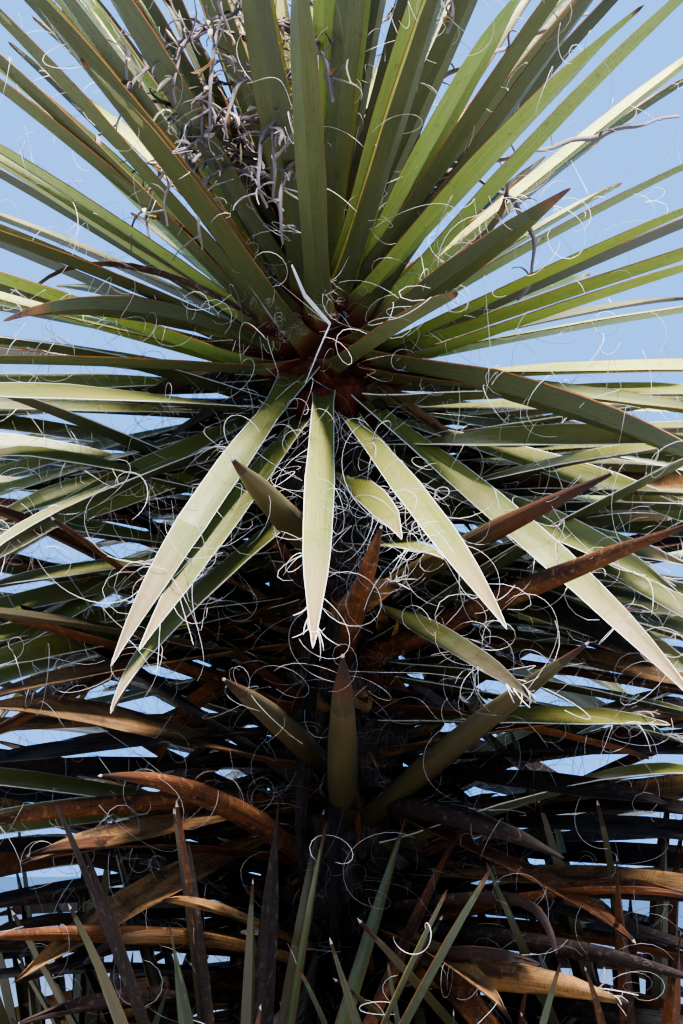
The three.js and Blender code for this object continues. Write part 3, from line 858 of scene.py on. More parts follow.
@functools.cache
def planned_leaves(fullness):
    """All leaves by whorl node: the source's own, and about fullness times as many more."""
    plan = {}
    crowd = Crowd()
    number = 0
    for stem, whorl, first, seed in numbered_whorls():
        leaves = []
        for sprout in as_grown(stem, whorl, source_sprouts(stem, whorl, first, seed + 1)):
            number += 1
            leaves.append(dressed(stem, whorl, sprout, number))
        plan[whorl.node] = leaves
        crowd.add(leaves)
    for stem, whorl, first, seed in numbered_whorls():
        count = round(whorl.leaves * fullness * MORE_OF_KIND[whorl.kind])
        shrink = EXTRA_SHRINK[whorl.kind]
        for sprout in rule_sprouts(whorl, first + 0.5, EXTRA_SEED + seed, count, shrink):
            number += 1
            trial = sprout
            for _ in range(EXTRA_TRIES):
                leaf = dressed(stem, whorl, raised(trial, whorl), number)
                fits = not is_open(whorl, trial.azimuth) and inside_box(leaf)
                if fits and crowd.is_clear(leaf):
                    plan[whorl.node].append(leaf)
                    crowd.add([leaf])
                    break
                trial = kept_low(turned_aside(sprout), whorl)
    return plan


# Finishes: every face has one, by name

# Two-sided looks have darker colours on their lower faces than on their upper ones: painted shade below,
# painted light on top.
TWO_SIDED = ("green", "lime", "olive")
PLAIN_LOOKS = ("ripe", "orange", "tan", "grey", "umber")
FINISHES = (
    *(
        f"{look}_{side}{part}"
        for look in TWO_SIDED
        for side in ("upper", "under")
        for part in ("", "_foot", "_tip")
    ),
    *(f"{look}_{part}" for look in PLAIN_LOOKS for part in ("leaf", "tip")),
    "pale_margin", "orange_margin", "old_bark", "dark_bark", "red_bark", "white_fibre",
    "dull_fibre", "fray", "stalk_bark", "bract_paper", "bleached_leaf", "tip_spine",
)
SPINED = ("olive", "ripe", "orange")  # looks whose blades end in a pale spine
FINISH_NUMBER = {name: i for i, name in enumerate(FINISHES)}
MARGINS = {"green": "orange_margin", "lime": "orange_margin", "olive": "pale_margin"}
FOOT_SHARES = {"green": 0.12, "lime": 0.12, "olive": 0.05}  # share of the length that is coloured foot
PLAIN_FOOT_SHARE = 0.1


# The numbers of a Mix node's sockets
MIX_FACTOR = 0
MIX_COLOURS = (6, 7)
MIX_RESULT = 2


class Nodes:
    """Adds shader nodes to a material and links them."""

    def __init__(self, material):
        material.use_nodes = True
        self.tree = material.node_tree
        self.tree.nodes.clear()

    def add(self, kind, inputs=None, **settings):
        node = self.tree.nodes.new(kind)
        for name, value in settings.items():
            setattr(node, name, value)
        for name, value in (inputs or {}).items():
            if isinstance(value, bpy.types.NodeSocket):
                self.tree.links.new(value, node.inputs[name])
            else:
                node.inputs[name].default_value = value
        return node

    def noise(self, place, stretch, detail, roughness=0.55):
        """Noise with so many waves a metre along each direction of a place."""
        mapped = self.add("ShaderNodeMapping", {"Vector": place, "Scale": stretch}).outputs[0]
        noise = self.add(
            "ShaderNodeTexNoise",
            {"Vector": mapped, "Scale": 1.0, "Detail": detail, "Roughness": roughness},
        )
        return noise.outputs["Fac"]

    def ranged(self, value, source, target):
        """A value moved from one range to another, and kept in it."""
        low, high = source
        first, last = target
        ranged = self.add(
            "ShaderNodeMapRange",
            {"Value": value, "From Min": low, "From Max": high, "To Min": first, "To Max": last},
        )
        return ranged.outputs[0]

    def ramp(self, value, stops):
        """Colours along a value from 0 to 1, given as (value, colour)."""
        ramp = self.add("ShaderNodeValToRGB", {"Fac": value})
        elements = ramp.color_ramp.elements
        while len(elements) < len(stops):
            elements.new(0.5)
        for element, (place, colour) in zip(elements, stops):
            element.position = place
            element.color = (*colour[:3], 1)
        return ramp.outputs["Color"]

    def worked_out(self, operation, first, second):
        return self.add("ShaderNodeMath", {0: first, 1: second}, operation=operation).outputs[0]

    def toned(self, colour):
        """A colour made lighter or darker by each leaf's tone, which holds painted shade too."""
        tone = self.add("ShaderNodeAttribute", attribute_name="tone").outputs["Fac"]
        return self.add("ShaderNodeHueSaturation", {"Color": colour, "Value": tone}).outputs["Color"]

    def mixed(self, share, *pair):
        """A mix of two colours, each given as three numbers or as a socket."""
        inputs = {MIX_FACTOR: share}
        for number, colour in zip(MIX_COLOURS, pair):
            is_socket = isinstance(colour, bpy.types.NodeSocket)
            inputs[number] = colour if is_socket else (*colour[:3], 1)
        return self.add("ShaderNodeMix", inputs, data_type="RGBA").outputs[MIX_RESULT]

    def layered(self, colour, *layers):
        """A colour under layers. Each has a value, its range, the most of the layer and its colour."""
        for value, source, most, over in layers:
            colour = self.mixed(self.ranged(value, source, (0, most)), colour, over)
        return colour

    def finish(self, colour, roughness, height, depth, specular=0.5):
        bump = self.add("ShaderNodeBump", {"Strength": 1.0, "Distance": depth, "Height": height})
        shader = self.add(
            "ShaderNodeBsdfPrincipled",
            {
                "Base Color": colour, "Roughness": roughness, "Normal": bump.outputs[0],
                "Specular IOR Level": specular,
            },
        )
        self.add("ShaderNodeOutputMaterial", {"Surface": shader.outputs[0]})


STREAK_COLOUR = (0.02, 0.015, 0.01)


def scaled(colour, factor):
    return tuple(min(1.0, part * factor) for part in colour)


def blade_patterns(nodes):
    """The place on a blade: metres across it, metres along it, and how ripe it is there. Then noise
    of fine lines along the blade, of paler stretches and of small spots.
    """
    place = nodes.add("ShaderNodeAttribute", attribute_name="place").outputs["Vector"]
    lines = nodes.noise(place, (900, 9, 0), 4)
    stretches = nodes.noise(place, (60, 11, 0), 3)
    spots = nodes.noise(place, (170, 95, 0), 5)
    return place, lines, stretches, spots


def mixed_colour(first, second):
    return tuple((a + b) / 2 for a, b in zip(first, second))


def blade_surface(material, colour, spot, roughness, spotted, depth, specular=0.5):
    """A blade or thread with fine lines along it, worn stretches and small dark spots."""
    nodes = Nodes(material)
    _, lines, stretches, spots = blade_patterns(nodes)
    spotty = nodes.layered(
        scaled(colour, 0.78),
        (lines, (0.3, 0.7), 1, scaled(colour, 1.18)),
        (stretches, (0.42, 0.7), 0.5, spot),
        (spots, (0.59, 0.7), spotted, scaled(spot, 0.45)),
    )
    gloss = nodes.ranged(lines, (0.2, 0.8), (roughness - 0.07, roughness + 0.09))
    nodes.finish(nodes.toned(spotty), gloss, lines, depth, specular=specular)


def dead_surface(material, colour, dark, pale):
    """A dead blade: streaks, dark rotten stretches, pale worn ones, and fine cracks across it."""
    nodes = Nodes(material)
    place, lines, stretches, spots = blade_patterns(nodes)
    cracks = nodes.noise(place, (60, 620, 0), 4, roughness=0.7)
    cracked = nodes.layered(
        scaled(colour, 0.6),
        (lines, (0.34, 0.66), 1, scaled(colour, 1.25)),
        (stretches, (0.46, 0.62), 0.8, dark),
        (spots, (0.54, 0.68), 0.6, pale),
        (cracks, (0.56, 0.64), 0.8, scaled(dark, 0.5)),
    )
    gloss = nodes.ranged(spots, (0.3, 0.7), (0.62, 0.85))
    height = nodes.worked_out("ADD", lines, cracks)
    nodes.finish(nodes.toned(cracked), gloss, height, 0.001, specular=0.3)


def ripening_surface(material, stops, start, roughness, depth, streaked=0.2):
    """A blade's foot or tip, whose colours follow how ripe it is, in streaks of uneven length."""
    nodes = Nodes(material)
    place, lines, stretches, spots = blade_patterns(nodes)
    ripe = nodes.add("ShaderNodeSeparateXYZ", {"Vector": place}).outputs["Z"]
    uneven = nodes.ranged(nodes.worked_out("ADD", lines, stretches), (0.6, 1.4), (-0.16, 0.16))
    share = nodes.worked_out("SUBTRACT", ripe, float(start))
    begun = nodes.ranged(share, (0, 0.2), (0, 1))
    unended = nodes.ranged(share, (0.6, 0.9), (1, 0))
    shift = nodes.worked_out("MULTIPLY", uneven, nodes.worked_out("MULTIPLY", begun, unended))
    colour = nodes.ramp(nodes.worked_out("ADD", share, shift), stops)
    dark = nodes.mixed(nodes.ranged(lines, (0.3, 0.6), (streaked, 0)), colour, STREAK_COLOUR)
    gloss = nodes.ranged(spots, (0.3, 0.7), (roughness - 0.08, roughness + 0.1))
    nodes.finish(nodes.toned(dark), gloss, lines, depth, specular=0.35)


def bark_surface(material, dark, light, depth):
    """Bark of matted old fibres: upright threads, darker clumps as painted shade in hollows, and pale
    worn edges.
    """
    nodes = Nodes(material)
    place = nodes.add("ShaderNodeTexCoord").outputs["Object"]
    threads = nodes.noise(place, (420, 420, 26), 6)
    clumps = nodes.noise(place, (70, 70, 34), 4)
    blots = nodes.noise(place, (14, 14, 9), 3)
    worn = nodes.layered(
        dark,
        (threads, (0.32, 0.68), 1, light),
        # painted shade: the clumps darken the bark as hollows would be shaded
        (clumps, (0.4, 0.66), 0.8, scaled(dark, 0.55)),
        (blots, (0.5, 0.72), 0.5, scaled(light, 1.15)),
    )
    gloss = nodes.ranged(clumps, (0.3, 0.7), (0.82, 0.98))
    height = nodes.worked_out("ADD", threads, clumps)
    nodes.finish(worn, gloss, height, depth, specular=0.25)


def foot_stops(colours, look, leaf):
    if look == "olive":
        return ((0.0, colours.red_base), (0.3, scaled(colours.cream_base, 0.8)), (0.7, leaf))
    return (
        (0.0, scaled(colours.red_base, 0.8)),
        (0.4, scaled(colours.red_base, 1.7)),
        (0.6, scaled(colours.cream_base, 0.8)),
        (0.95, leaf),
    )


def tip_stops(colours, look, leaf):
    if look == "olive":
        withered = mixed_colour(leaf, colours.mauve_tip)
        return (0.0, leaf), (0.3, withered), (0.8, mixed_colour(withered, colours.mauve_tip))
    if look == "ripe":
        return (0.0, leaf), (0.35, scaled(colours.orange, 0.8)), (0.85, colours.purple_tip)
    if look in ("green", "lime"):
        return (0.0, leaf), (0.3, colours.dry_tip), (0.7, colours.purple_tip)
    return (0.0, leaf), (0.4, scaled(leaf, 0.8)), (0.8, scaled(colours.umber, 0.8))


@functools.cache
def material_of(name):
    """The material of a finish, made when it is first asked for."""
    colours = bpy.context.scene.yucca_colours
    material = bpy.data.materials.new(name)
    look, _, part = name.partition("_")
    if look in TWO_SIDED:
        side, _, end = part.partition("_")
        leaf = getattr(colours, f"{look}_{side}")
        if end == "foot":
            ripening_surface(material, foot_stops(colours, look, leaf), 0, 0.6, 0.0006)
        elif end == "tip":
            ripening_surface(material, tip_stops(colours, look, leaf), 2, 0.6, 0.0006)
        else:
            worn = mixed_colour(leaf, colours.tan) if look == "olive" else scaled(leaf, 0.7)
            blade_surface(material, leaf, worn, 0.42, 0.4, 0.0005)
    elif part == "tip":
        stops = tip_stops(colours, look, getattr(colours, look))
        ripening_surface(material, stops, 2, 0.75, 0.002, streaked=0.75)
    elif look == "ripe":
        worn = mixed_colour(colours.ripe, scaled(colours.tan, 0.6))
        blade_surface(material, colours.ripe, worn, 0.5, 0.15, 0.0004)
    elif part == "leaf" and look in PLAIN_LOOKS:
        tone = getattr(colours, look)
        pale = colours.tan if look in ("orange", "tan") else scaled(colours.grey, 1.25)
        dead_surface(material, tone, scaled(colours.umber, 0.5), pale)
    elif name == "old_bark":
        bark_surface(material, colours.bark_dark, colours.bark_light, 0.004)
    elif name == "dark_bark":
        bark_surface(material, colours.bark_dark, scaled(colours.bark_light, 0.85), 0.004)
    elif name == "red_bark":
        bark_surface(material, scaled(colours.red_base, 0.8), scaled(colours.red_base, 2), 0.003)
    elif name == "white_fibre":
        blade_surface(material, colours.fibre, colours.tan, 0.5, 0.1, 0.0001)
    elif name == "dull_fibre":
        blade_surface(material, scaled(colours.fibre, 0.4), colours.umber, 0.6, 0.1, 0.0001)
    else:
        tone = getattr(colours, name)
        blade_surface(material, tone, scaled(tone, 0.55), 0.66, 0.5, 0.0007, specular=0.35)
    return material


# Objects and joined meshes

def new_object(name, data):
    made = bpy.data.objects.new(name, data)
    bpy.context.scene.collection.objects.link(made)
    return made


class Heap:
    """Points and faces of many small things, joined into one mesh."""

    def __init__(self):
        self.points = []
        self.places = []
        self.tones = []
        self.corners = []
        self.face_sizes = []
        self.finishes = []
        self.count = 0

    def add_points(self, points, places, tones=1.0):
        """Takes points, the place of each on its blade and its tone. Returns the first's number."""
        first = self.count
        points = np.asarray(points, float).reshape(-1, 3)
        self.points.append(points)
        self.places.append(np.asarray(places, float).reshape(-1, 3))
        self.tones.append(np.broadcast_to(np.asarray(tones, float).ravel(), (len(points),)))
        self.count += len(points)
        return first

    def add_faces(self, faces, finishes):
        """Takes rows of point numbers, and a finish number for all or for each."""
        faces = np.asarray(faces, int)
        faces = faces.reshape(-1, faces.shape[-1])
        self.corners.append(faces.ravel())
        self.face_sizes.append(np.full(len(faces), faces.shape[1]))
        self.finishes.append(np.broadcast_to(np.asarray(finishes, int).ravel(), (len(faces),)))

    def add_limbs(self, rings, places, finishes, foot_finish, end_finish):
        """Takes points of closed limbs, by limb, ring and corner, and their finish numbers."""
        limbs, ring_count, corners = rings.shape[:3]
        size = ring_count * corners
        offsets = self.add_points(rings, places) + np.arange(limbs)[:, None, None] * size
        self.add_faces(ring_faces(ring_count, corners) + offsets, finishes)
        foot = np.arange(corners)[::-1][None]
        self.add_faces(foot + offsets, foot_finish)
        self.add_faces(size - 1 - foot + offsets, end_finish)

    def piece(self, name, smooth_below):
        """The joined object, with the finishes that it uses. Edges sharper than an angle stay so."""
        points = np.concatenate(self.points)
        corners = np.concatenate(self.corners)
        sizes = np.concatenate(self.face_sizes)
        finishes = np.concatenate(self.finishes)
        used, slots = np.unique(finishes, return_inverse=True)
        mesh = bpy.data.meshes.new(name)
        mesh.vertices.add(len(points))
        mesh.vertices.foreach_set("co", points.astype(np.float32).ravel())
        mesh.loops.add(len(corners))
        mesh.loops.foreach_set("vertex_index", corners.astype(np.int32))
        mesh.polygons.add(len(sizes))
        starts = np.concatenate([[0], np.cumsum(sizes)[:-1]])
        mesh.polygons.foreach_set("loop_start", starts.astype(np.int32))
        mesh.polygons.foreach_set("material_index", slots.astype(np.int32).ravel())
        for number in used:
            mesh.materials.append(material_of(FINISHES[number]))
        place = mesh.attributes.new("place", "FLOAT_VECTOR", "POINT")
        place.data.foreach_set("vector", np.concatenate(self.places).astype(np.float32).ravel())
        tone = mesh.attributes.new("tone", "FLOAT", "POINT")
        tone.data.foreach_set("value", np.concatenate(self.tones).astype(np.float32))
        mesh.update(calc_edges=True)
        if mesh.validate():
            raise RuntimeError(f"{name}: its mesh has faces that Blender had to mend")
        mesh.shade_smooth()
        mesh.set_sharp_from_angle(angle=math.radians(smooth_below))
        return new_object(name, mesh)


def ring_faces(rings, count):
    """Faces between rings of points, each ring counted anticlockwise about the way to the next."""
    here = np.arange(rings - 1)[:, None] * count + np.arange(count)
    beside = np.arange(rings - 1)[:, None] * count + (np.arange(count) + 1) % count
    return np.stack([here, beside, beside + count, here + count], axis=-1).reshape(-1, 4)


def finish_piece(piece, slot, *nodes):
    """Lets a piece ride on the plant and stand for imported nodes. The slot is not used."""
    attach(piece, "root")
    if nodes:
        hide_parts(*nodes)


# Blades

@dataclass(frozen=True)
class Cut:
    """The points of a blade's cross-section, from -1 at one edge to 1 at the other."""

    bottom: tuple
    top: tuple

    @property
    def across(self):
        return np.array([-1, *self.bottom, 1, *reversed(self.top)])

    @property
    def below(self):
        """How much of the blade's thickness lies above each point."""
        return np.array([0.5, *[1] * len(self.bottom), 0.5, *[0] * len(self.top)])

    @property
    def strips(self):
        """The kind of the strip that starts at each point: margin, under or upper."""
        under = ["margin", *["under"] * (len(self.bottom) - 1), "margin"]
        upper = ["margin", *["upper"] * (len(self.top) - 1), "margin"]
        return under + upper


FINE_CUT = Cut(bottom=(-0.95, 0, 0.95), top=(-0.95, -0.48, 0, 0.48, 0.95))
FOLDED_CUT = Cut(bottom=(-0.95, -0.65, -0.33, 0, 0.33, 0.65, 0.95), top=(-0.95, 0, 0.95))
CONE_CUT = Cut(bottom=tuple(np.linspace(-0.95, 0.95, 13)), top=(-0.95, 0, 0.95))
PLAIN_CUT = Cut(bottom=(0,), top=(0,))
FOLDED_FROM = 2.3  # how far a section bends round, times the usual, from which it needs a rounder cut
CONE_FROM = 4
BLADE_CUTS = (
    (FINE_CUT, 0, FOLDED_FROM),
    (FOLDED_CUT, FOLDED_FROM, CONE_FROM),
    (CONE_CUT, CONE_FROM, math.inf),
)
FINE_SHARES = np.array(
    [0, 0.02, 0.05, 0.12, 0.2, 0.3, 0.4, 0.5, 0.6, 0.69, 0.77, 0.84, 0.895, 0.935, 0.965, 0.986, 1]
)
PLAIN_SHARES = np.array([0, 0.3, 0.6, 0.85, 1])

# Along the blade: its width, how far its section bends round, and its thickness
WIDTH_ALONG = (
    (0, 0.05, 0.12, 0.3, 0.46, 0.62, 0.77, 0.88, 0.95, 0.985, 1),
    (0.90, 0.78, 0.78, 0.92, 1.0, 0.95, 0.76, 0.48, 0.24, 0.10, 0.03),
)
CONE_TAPER = ((0.3, 0.8, 1), (1, 0.8, 0.5))  # narrows folded blades into cones
BEND_ALONG = ((0, 0.1, 0.5, 0.8, 0.92, 1), (0.7, 0.45, 0.38, 0.55, 1.2, 2.1))
THICKNESS_ALONG = ((0, 0.1, 0.5, 0.8, 0.95, 1), (1.5, 1.15, 1.0, 0.85, 0.6, 0.3))
BLADE_THICKNESS = 0.0040
EDGE_THICKNESS = 0.0008
MOST_BEND = 2.95
FLARED_SHARE = 0.16
THINNING_POWER = 2.5  # of the way from the middle of a blade to its edge
WAVE_DEPTH = 0.03
WAVE_RATE = 23  # radians along a blade
WAVE_SHIFT = 2.4  # radians from one leaf to the next
SPINE_FROM = 0.98
PATTERN_SHIFT = 0.137  # metres that the pattern is shifted from one leaf to the next


def blade_frames(leaves, shares):
    """The middle line of each blade at shares of its length, and forward, side and up there."""
    azimuth, elevation = turns(leaves, shares)
    forward = heading(azimuth, elevation)
    level = np.stack([np.cos(azimuth), np.sin(azimuth), 0 * azimuth], axis=-1)
    above = np.cross(forward, level)
    roll = leaves["roll"] * np.minimum(1, shares / ROLL_REACHED) + leaves["twist"] * shares
    roll = np.radians(roll)[:, :, None]
    side = level * np.cos(roll) + above * np.sin(roll)
    up = above * np.cos(roll) - level * np.sin(roll)
    return middle_lines(leaves, shares), forward, side, up


def blade_points(leaves, shares, cut):
    """Points of each blade: by leaf, ring and corner of the section, without the tip."""
    line, _, side, up = blade_frames(leaves, shares[:-1])
    along = shares[None, :-1]
    number = np.arange(len(line))[:, None]
    wave = 1 + WAVE_DEPTH * np.sin(along * WAVE_RATE + number * WAVE_SHIFT)
    foot = 1 + leaves["flare"] * np.clip(1 - along / FLARED_SHARE, 0, 1)
    taper = np.where(leaves["channel"] > CONE_FROM, np.interp(along, *CONE_TAPER), 1)
    half = leaves["width"] / 2 * np.interp(along, *WIDTH_ALONG) * wave * foot * taper
    bend = np.minimum(MOST_BEND, np.interp(along, *BEND_ALONG) * leaves["channel"])
    thick = BLADE_THICKNESS * leaves["thick"] * np.interp(along, *THICKNESS_ALONG)
    thick = thick * taper**2 * leaves["width"] / LEAF_WIDTH
    turn = bend[:, :, None] * cut.across
    radius = (half / bend)[:, :, None]
    depth = EDGE_THICKNESS + thick[:, :, None] * (1 - np.abs(cut.across) ** THINNING_POWER)
    out = (radius + depth * cut.below) * np.sin(turn)
    rise = radius - (radius + depth * cut.below) * np.cos(turn)
    return line[:, :, None] + side[:, :, None] * out[..., None] + up[:, :, None] * rise[..., None]


def finish_of(look, strip, part):
    """The finish of one strip of a blade: at its foot, at its tip or between."""
    if look in PLAIN_LOOKS:
        return f"{look}_tip" if part == "_tip" else f"{look}_leaf"
    if strip == "margin":
        return MARGINS[look]
    return f"{look}_{strip}{part}"


def foot_share(leaf):
    return FOOT_SHARES.get(leaf.look, PLAIN_FOOT_SHARE)


def leaf_finishes(leaf, shares, strips):
    """The finish number of each face along one blade, by segment and strip."""
    rows = []
    for share in shares[1:]:
        part = ""
        if share <= foot_share(leaf):
            part = "_foot"
        elif share > 1 - leaf.dry:
            part = "_tip"
        rows.append([FINISH_NUMBER[finish_of(leaf.look, strip, part)] for strip in strips])
    rows = np.array(rows)
    if leaf.look in SPINED:
        rows[shares[:-1] > SPINE_FROM] = FINISH_NUMBER["tip_spine"]
    return rows


def ripeness(leaves, shares):
    """How ripe each blade is: 0 at the root, 1 past the foot, 2 where it starts to dry, 3 at the end."""
    stops = [(0, foot_share(leaf), 1 - leaf.dry, 1) for leaf in leaves]
    return np.stack([np.interp(shares, places, (0, 1, 2, 3)) for places in stops])


def add_blades(heap, leaves, shares, cut, finishes):
    """Adds closed blades to a heap. Finishes has a row of numbers for each leaf and segment."""
    columns = stacked(leaves)
    rings = blade_points(columns, shares, cut)
    tips = middle_lines(columns, [1.0])
    leaf_count, ring_count, corner_count = rings.shape[:3]
    size = ring_count * corner_count + 1
    points = np.concatenate([rings.reshape(leaf_count, -1, 3), tips], axis=1)
    shift = np.arange(leaf_count) * PATTERN_SHIFT
    across = cut.across * columns["width"][:, :, None] / 2 + shift[:, None, None]
    along = shares[:-1][None, :, None] * columns["length"][:, :, None]
    ripe = ripeness(leaves, shares)
    places = np.stack(np.broadcast_arrays(across, along, ripe[:, :-1, None]), axis=-1)
    tip_places = np.stack([shift, columns["length"][:, 0], ripe[:, -1]], axis=-1)
    places = np.concatenate([places.reshape(leaf_count, -1, 3), tip_places[:, None]], axis=1)
    tones = np.repeat([leaf.tone for leaf in leaves], size)
    first = heap.add_points(points, places, tones)
    offsets = first + np.arange(leaf_count)[:, None, None] * size
    heap.add_faces(ring_faces(ring_count, corner_count) + offsets, finishes[:, :-1].reshape(-1))
    last = (ring_count - 1) * corner_count
    here = last + np.arange(corner_count)
    beside = last + (np.arange(corner_count) + 1) % corner_count
    tip_fan = np.stack([here, beside, np.full(corner_count, size - 1)], axis=-1)
    heap.add_faces(tip_fan + offsets, finishes[:, -1].reshape(-1))
    foot = np.arange(corner_count)[::-1][None]
    heap.add_faces(foot + offsets, finishes[:, 0, 0])


def leaves_piece(name, leaves):
    heap = Heap()
    for cut, low, high in BLADE_CUTS:
        group = [leaf for leaf in leaves if low <= leaf.channel < high]
        if group:
            finishes = np.array([leaf_finishes(leaf, FINE_SHARES, cut.strips) for leaf in group])
            add_blades(heap, group, FINE_SHARES, cut, finishes)
    return heap.piece(name, smooth_below=40)


# Fibres that peel off the blades' margins, and others like them

@dataclass(frozen=True)
class Thread:
    """A kind of thread. Thickness is in shares of a fibre's radius, and turning in degrees."""

    segments: int
    length: tuple
    thickness: tuple
    turning: tuple
    finish: str


# Kinds of fibre: their segments, how far they turn, their length as a share of the longest, and the
# share of all fibres that they are
FIBRE_CLASSES = (
    (6, (50, 220), (0.12, 0.6), 0.42),
    (14, (130, 370), (0.45, 1.0), 0.43),
    (19, (330, 600), (0.4, 0.9), 0.15),
)
FIBRE_SEED = 77
FIBRE_PLACES = (0.10, 0.95)  # shares of a blade's length
FIBRE_SIDES = 3
FIBRE_THICKNESS = (0.65, 1.2)  # times the usual radius
FIBRE_END = 0.55  # the radius at a fibre's end, as a share of that at its start
FIBRE_SAG = 0.02  # how far each segment of a fibre turns downwards
FLATNESS = 0.75  # 1 lets each thread curl in a plane, and less winds it into a helix
UNEVENNESS = 0.5  # how much a thread's bend swells and fades along it
SWELLING_RATE = 5  # radians along a thread
LATENESS = (-0.7, 0.95)  # 1 bends a thread mostly near its end, -1 near its start
DULL_SHARE = 0.25
# How far fibres leave a margin towards the tip, outward, and towards the blade's top
PEEL_FORWARD = (-0.2, 1)
PEEL_OUTWARD = (0.2, 1)
PEEL_UP = (-0.7, 0.9)
EDGE_STEPS = 33  # places along a margin that fibres start at

# Splinters at worn ends
FRAYED_SHARE = 0.3
FRAYS = 10
FRAY_PLACES = (0.88, 0.97)
FRAY_ASIDE = (-0.1, 0.45)
FRAY_UP = (-0.3, 0.3)
FRAY_THREAD = Thread(5, (0.015, 0.045), (1.2, 2.6), (-90, 90), "fray")

# Nests of curls, in front of the crown's foot and the skirt, and all round the trunk
NESTS = (
    (-0.083, -0.150, 1.592),
    (-0.105, -0.135, 1.640),
    (-0.022, -0.120, 1.618),
    (0.030, -0.105, 1.235),
)
NEST_SPREAD = 0.014
NEST_FIBRES = 14
NEST_THREAD = Thread(18, (0.03, 0.08), (0.4, 0.8), (400, 900), "dull_fibre")
TRUNK_NESTS = 42
TRUNK_NEST_SPREAD = 0.042
TRUNK_NEST_OUT = 0.045


def edge_starts(leaves, picks, shares, sides):
    """Points on the margins of picked leaves at shares of their length, with the blades' frames."""
    columns = stacked(leaves)
    shares_along = np.linspace(0, 1, EDGE_STEPS + 1)
    points = blade_points(columns, shares_along, PLAIN_CUT)
    _, forward, side, up = blade_frames(columns, shares_along[:-1])
    row = np.clip((shares * EDGE_STEPS).astype(int), 0, EDGE_STEPS - 1)
    left, right = np.flatnonzero(np.abs(PLAIN_CUT.across) == 1)
    start = points[picks, row, np.where(sides > 0, right, left)]
    return start, forward[picks, row], side[picks, row] * sides[:, None], up[picks, row]


def turned(vectors, axes, angles):
    """Vectors turned about unit axes, by angles in radians."""
    cos = np.cos(angles)[:, None]
    sin = np.sin(angles)[:, None]
    along = (vectors * axes).sum(axis=1, keepdims=True)
    return vectors * cos + np.cross(axes, vectors) * sin + axes * along * (1 - cos)


def unit(vectors):
    return vectors / np.linalg.norm(vectors, axis=-1, keepdims=True)


def squared(vectors, ways, share=1):
    """The vectors, turned to stand square to unit vectors, or a share of the way to that."""
    return unit(vectors - ways * (vectors * ways).sum(axis=1, keepdims=True) * share)


def add_fibres(heap, start, direction, segments, length, radius, turning, chance, finish):
    """Adds curling threads with closed ends, one from each start."""
    count = len(start)
    axis = squared(unit(chance.normal(size=(count, 3))), direction, FLATNESS)
    swirl = chance.uniform(0, 2 * math.pi, count)
    uneven = chance.uniform(0, UNEVENNESS, count)
    late = chance.uniform(*LATENESS, count)
    point = start.copy()
    rings = []
    for k in range(segments + 1):
        across = squared(axis, direction)
        beside = np.cross(direction, across)
        share = k / segments
        thin = radius * mix(1, FIBRE_END, share)
        ring = [
            point
            + across * (thin * math.cos(2 * math.pi * i / FIBRE_SIDES))[:, None]
            + beside * (thin * math.sin(2 * math.pi * i / FIBRE_SIDES))[:, None]
            for i in range(FIBRE_SIDES)
        ]
        rings.append(np.stack(ring, axis=1))
        bend = 1 + uneven * np.sin(swirl + SWELLING_RATE * share) + late * (2 * share - 1)
        bend = bend * np.radians(turning) / segments
        point = point + direction * (length / segments)[:, None]
        direction = turned(direction, axis, bend)
        direction = unit(direction + np.array([0, 0, -FIBRE_SAG]))
    rings = np.stack(rings, axis=1)
    along = np.linspace(0, 1, segments + 1)[None, :, None] * length[:, None, None]
    along = np.broadcast_to(along, (count, segments + 1, FIBRE_SIDES))
    shift = np.broadcast_to(np.arange(count)[:, None, None] * PATTERN_SHIFT, along.shape)
    places = np.stack([shift, along, 0 * along], axis=-1)
    heap.add_limbs(rings, places, np.repeat(finish, segments * FIBRE_SIDES), finish, finish)


def add_threads(heap, start, direction, thread, settings, chance, looseness=1):
    """Adds threads of one kind. The looser they are, the longer they are and the less they turn."""
    count = len(start)
    length = chance.uniform(*thread.length, count) * looseness**0.5
    radius = settings.fibre_radius * chance.uniform(*thread.thickness, count)
    turning = chance.uniform(*thread.turning, count) / looseness**0.5
    finish = np.full(count, FINISH_NUMBER[thread.finish])
    add_fibres(heap, start, direction, thread.segments, length, radius, turning, chance, finish)


def peeled(forward, outward, up, chance):
    """Directions in which fibres leave a margin: outward, and mostly towards the tip."""
    count = len(forward)
    return unit(
        forward * chance.uniform(*PEEL_FORWARD, (count, 1))
        + outward * chance.uniform(*PEEL_OUTWARD, (count, 1))
        + up * chance.uniform(*PEEL_UP, (count, 1))
    )


def add_frays(heap, leaves, settings, chance):
    """Adds short pale splinters that spread from the worn ends of some leaves."""
    frays = [
        leaf.frays or (FRAYS if leaf.look == "olive" and chance.random() < FRAYED_SHARE else 0)
        for leaf in leaves
    ]
    picks = np.repeat(np.arange(len(leaves)), frays)
    count = len(picks)
    if not count:
        return
    sides = chance.choice([-1.0, 1.0], count)
    shares = chance.uniform(*FRAY_PLACES, count)
    start, forward, outward, up = edge_starts(leaves, picks, shares, sides)
    aside = chance.uniform(*FRAY_ASIDE, (count, 1))
    direction = unit(forward + outward * aside + up * chance.uniform(*FRAY_UP, (count, 1)))
    add_threads(heap, start, direction, FRAY_THREAD, settings, chance)


def add_nest(heap, centre, reach, settings, chance):
    """Adds a nest of curls that has gathered between leaves. A wider nest has looser ones."""
    start = centre + chance.normal(size=(NEST_FIBRES, 3)) * reach
    direction = unit(chance.normal(size=(NEST_FIBRES, 3)))
    add_threads(heap, start, direction, NEST_THREAD, settings, chance, reach / NEST_SPREAD)


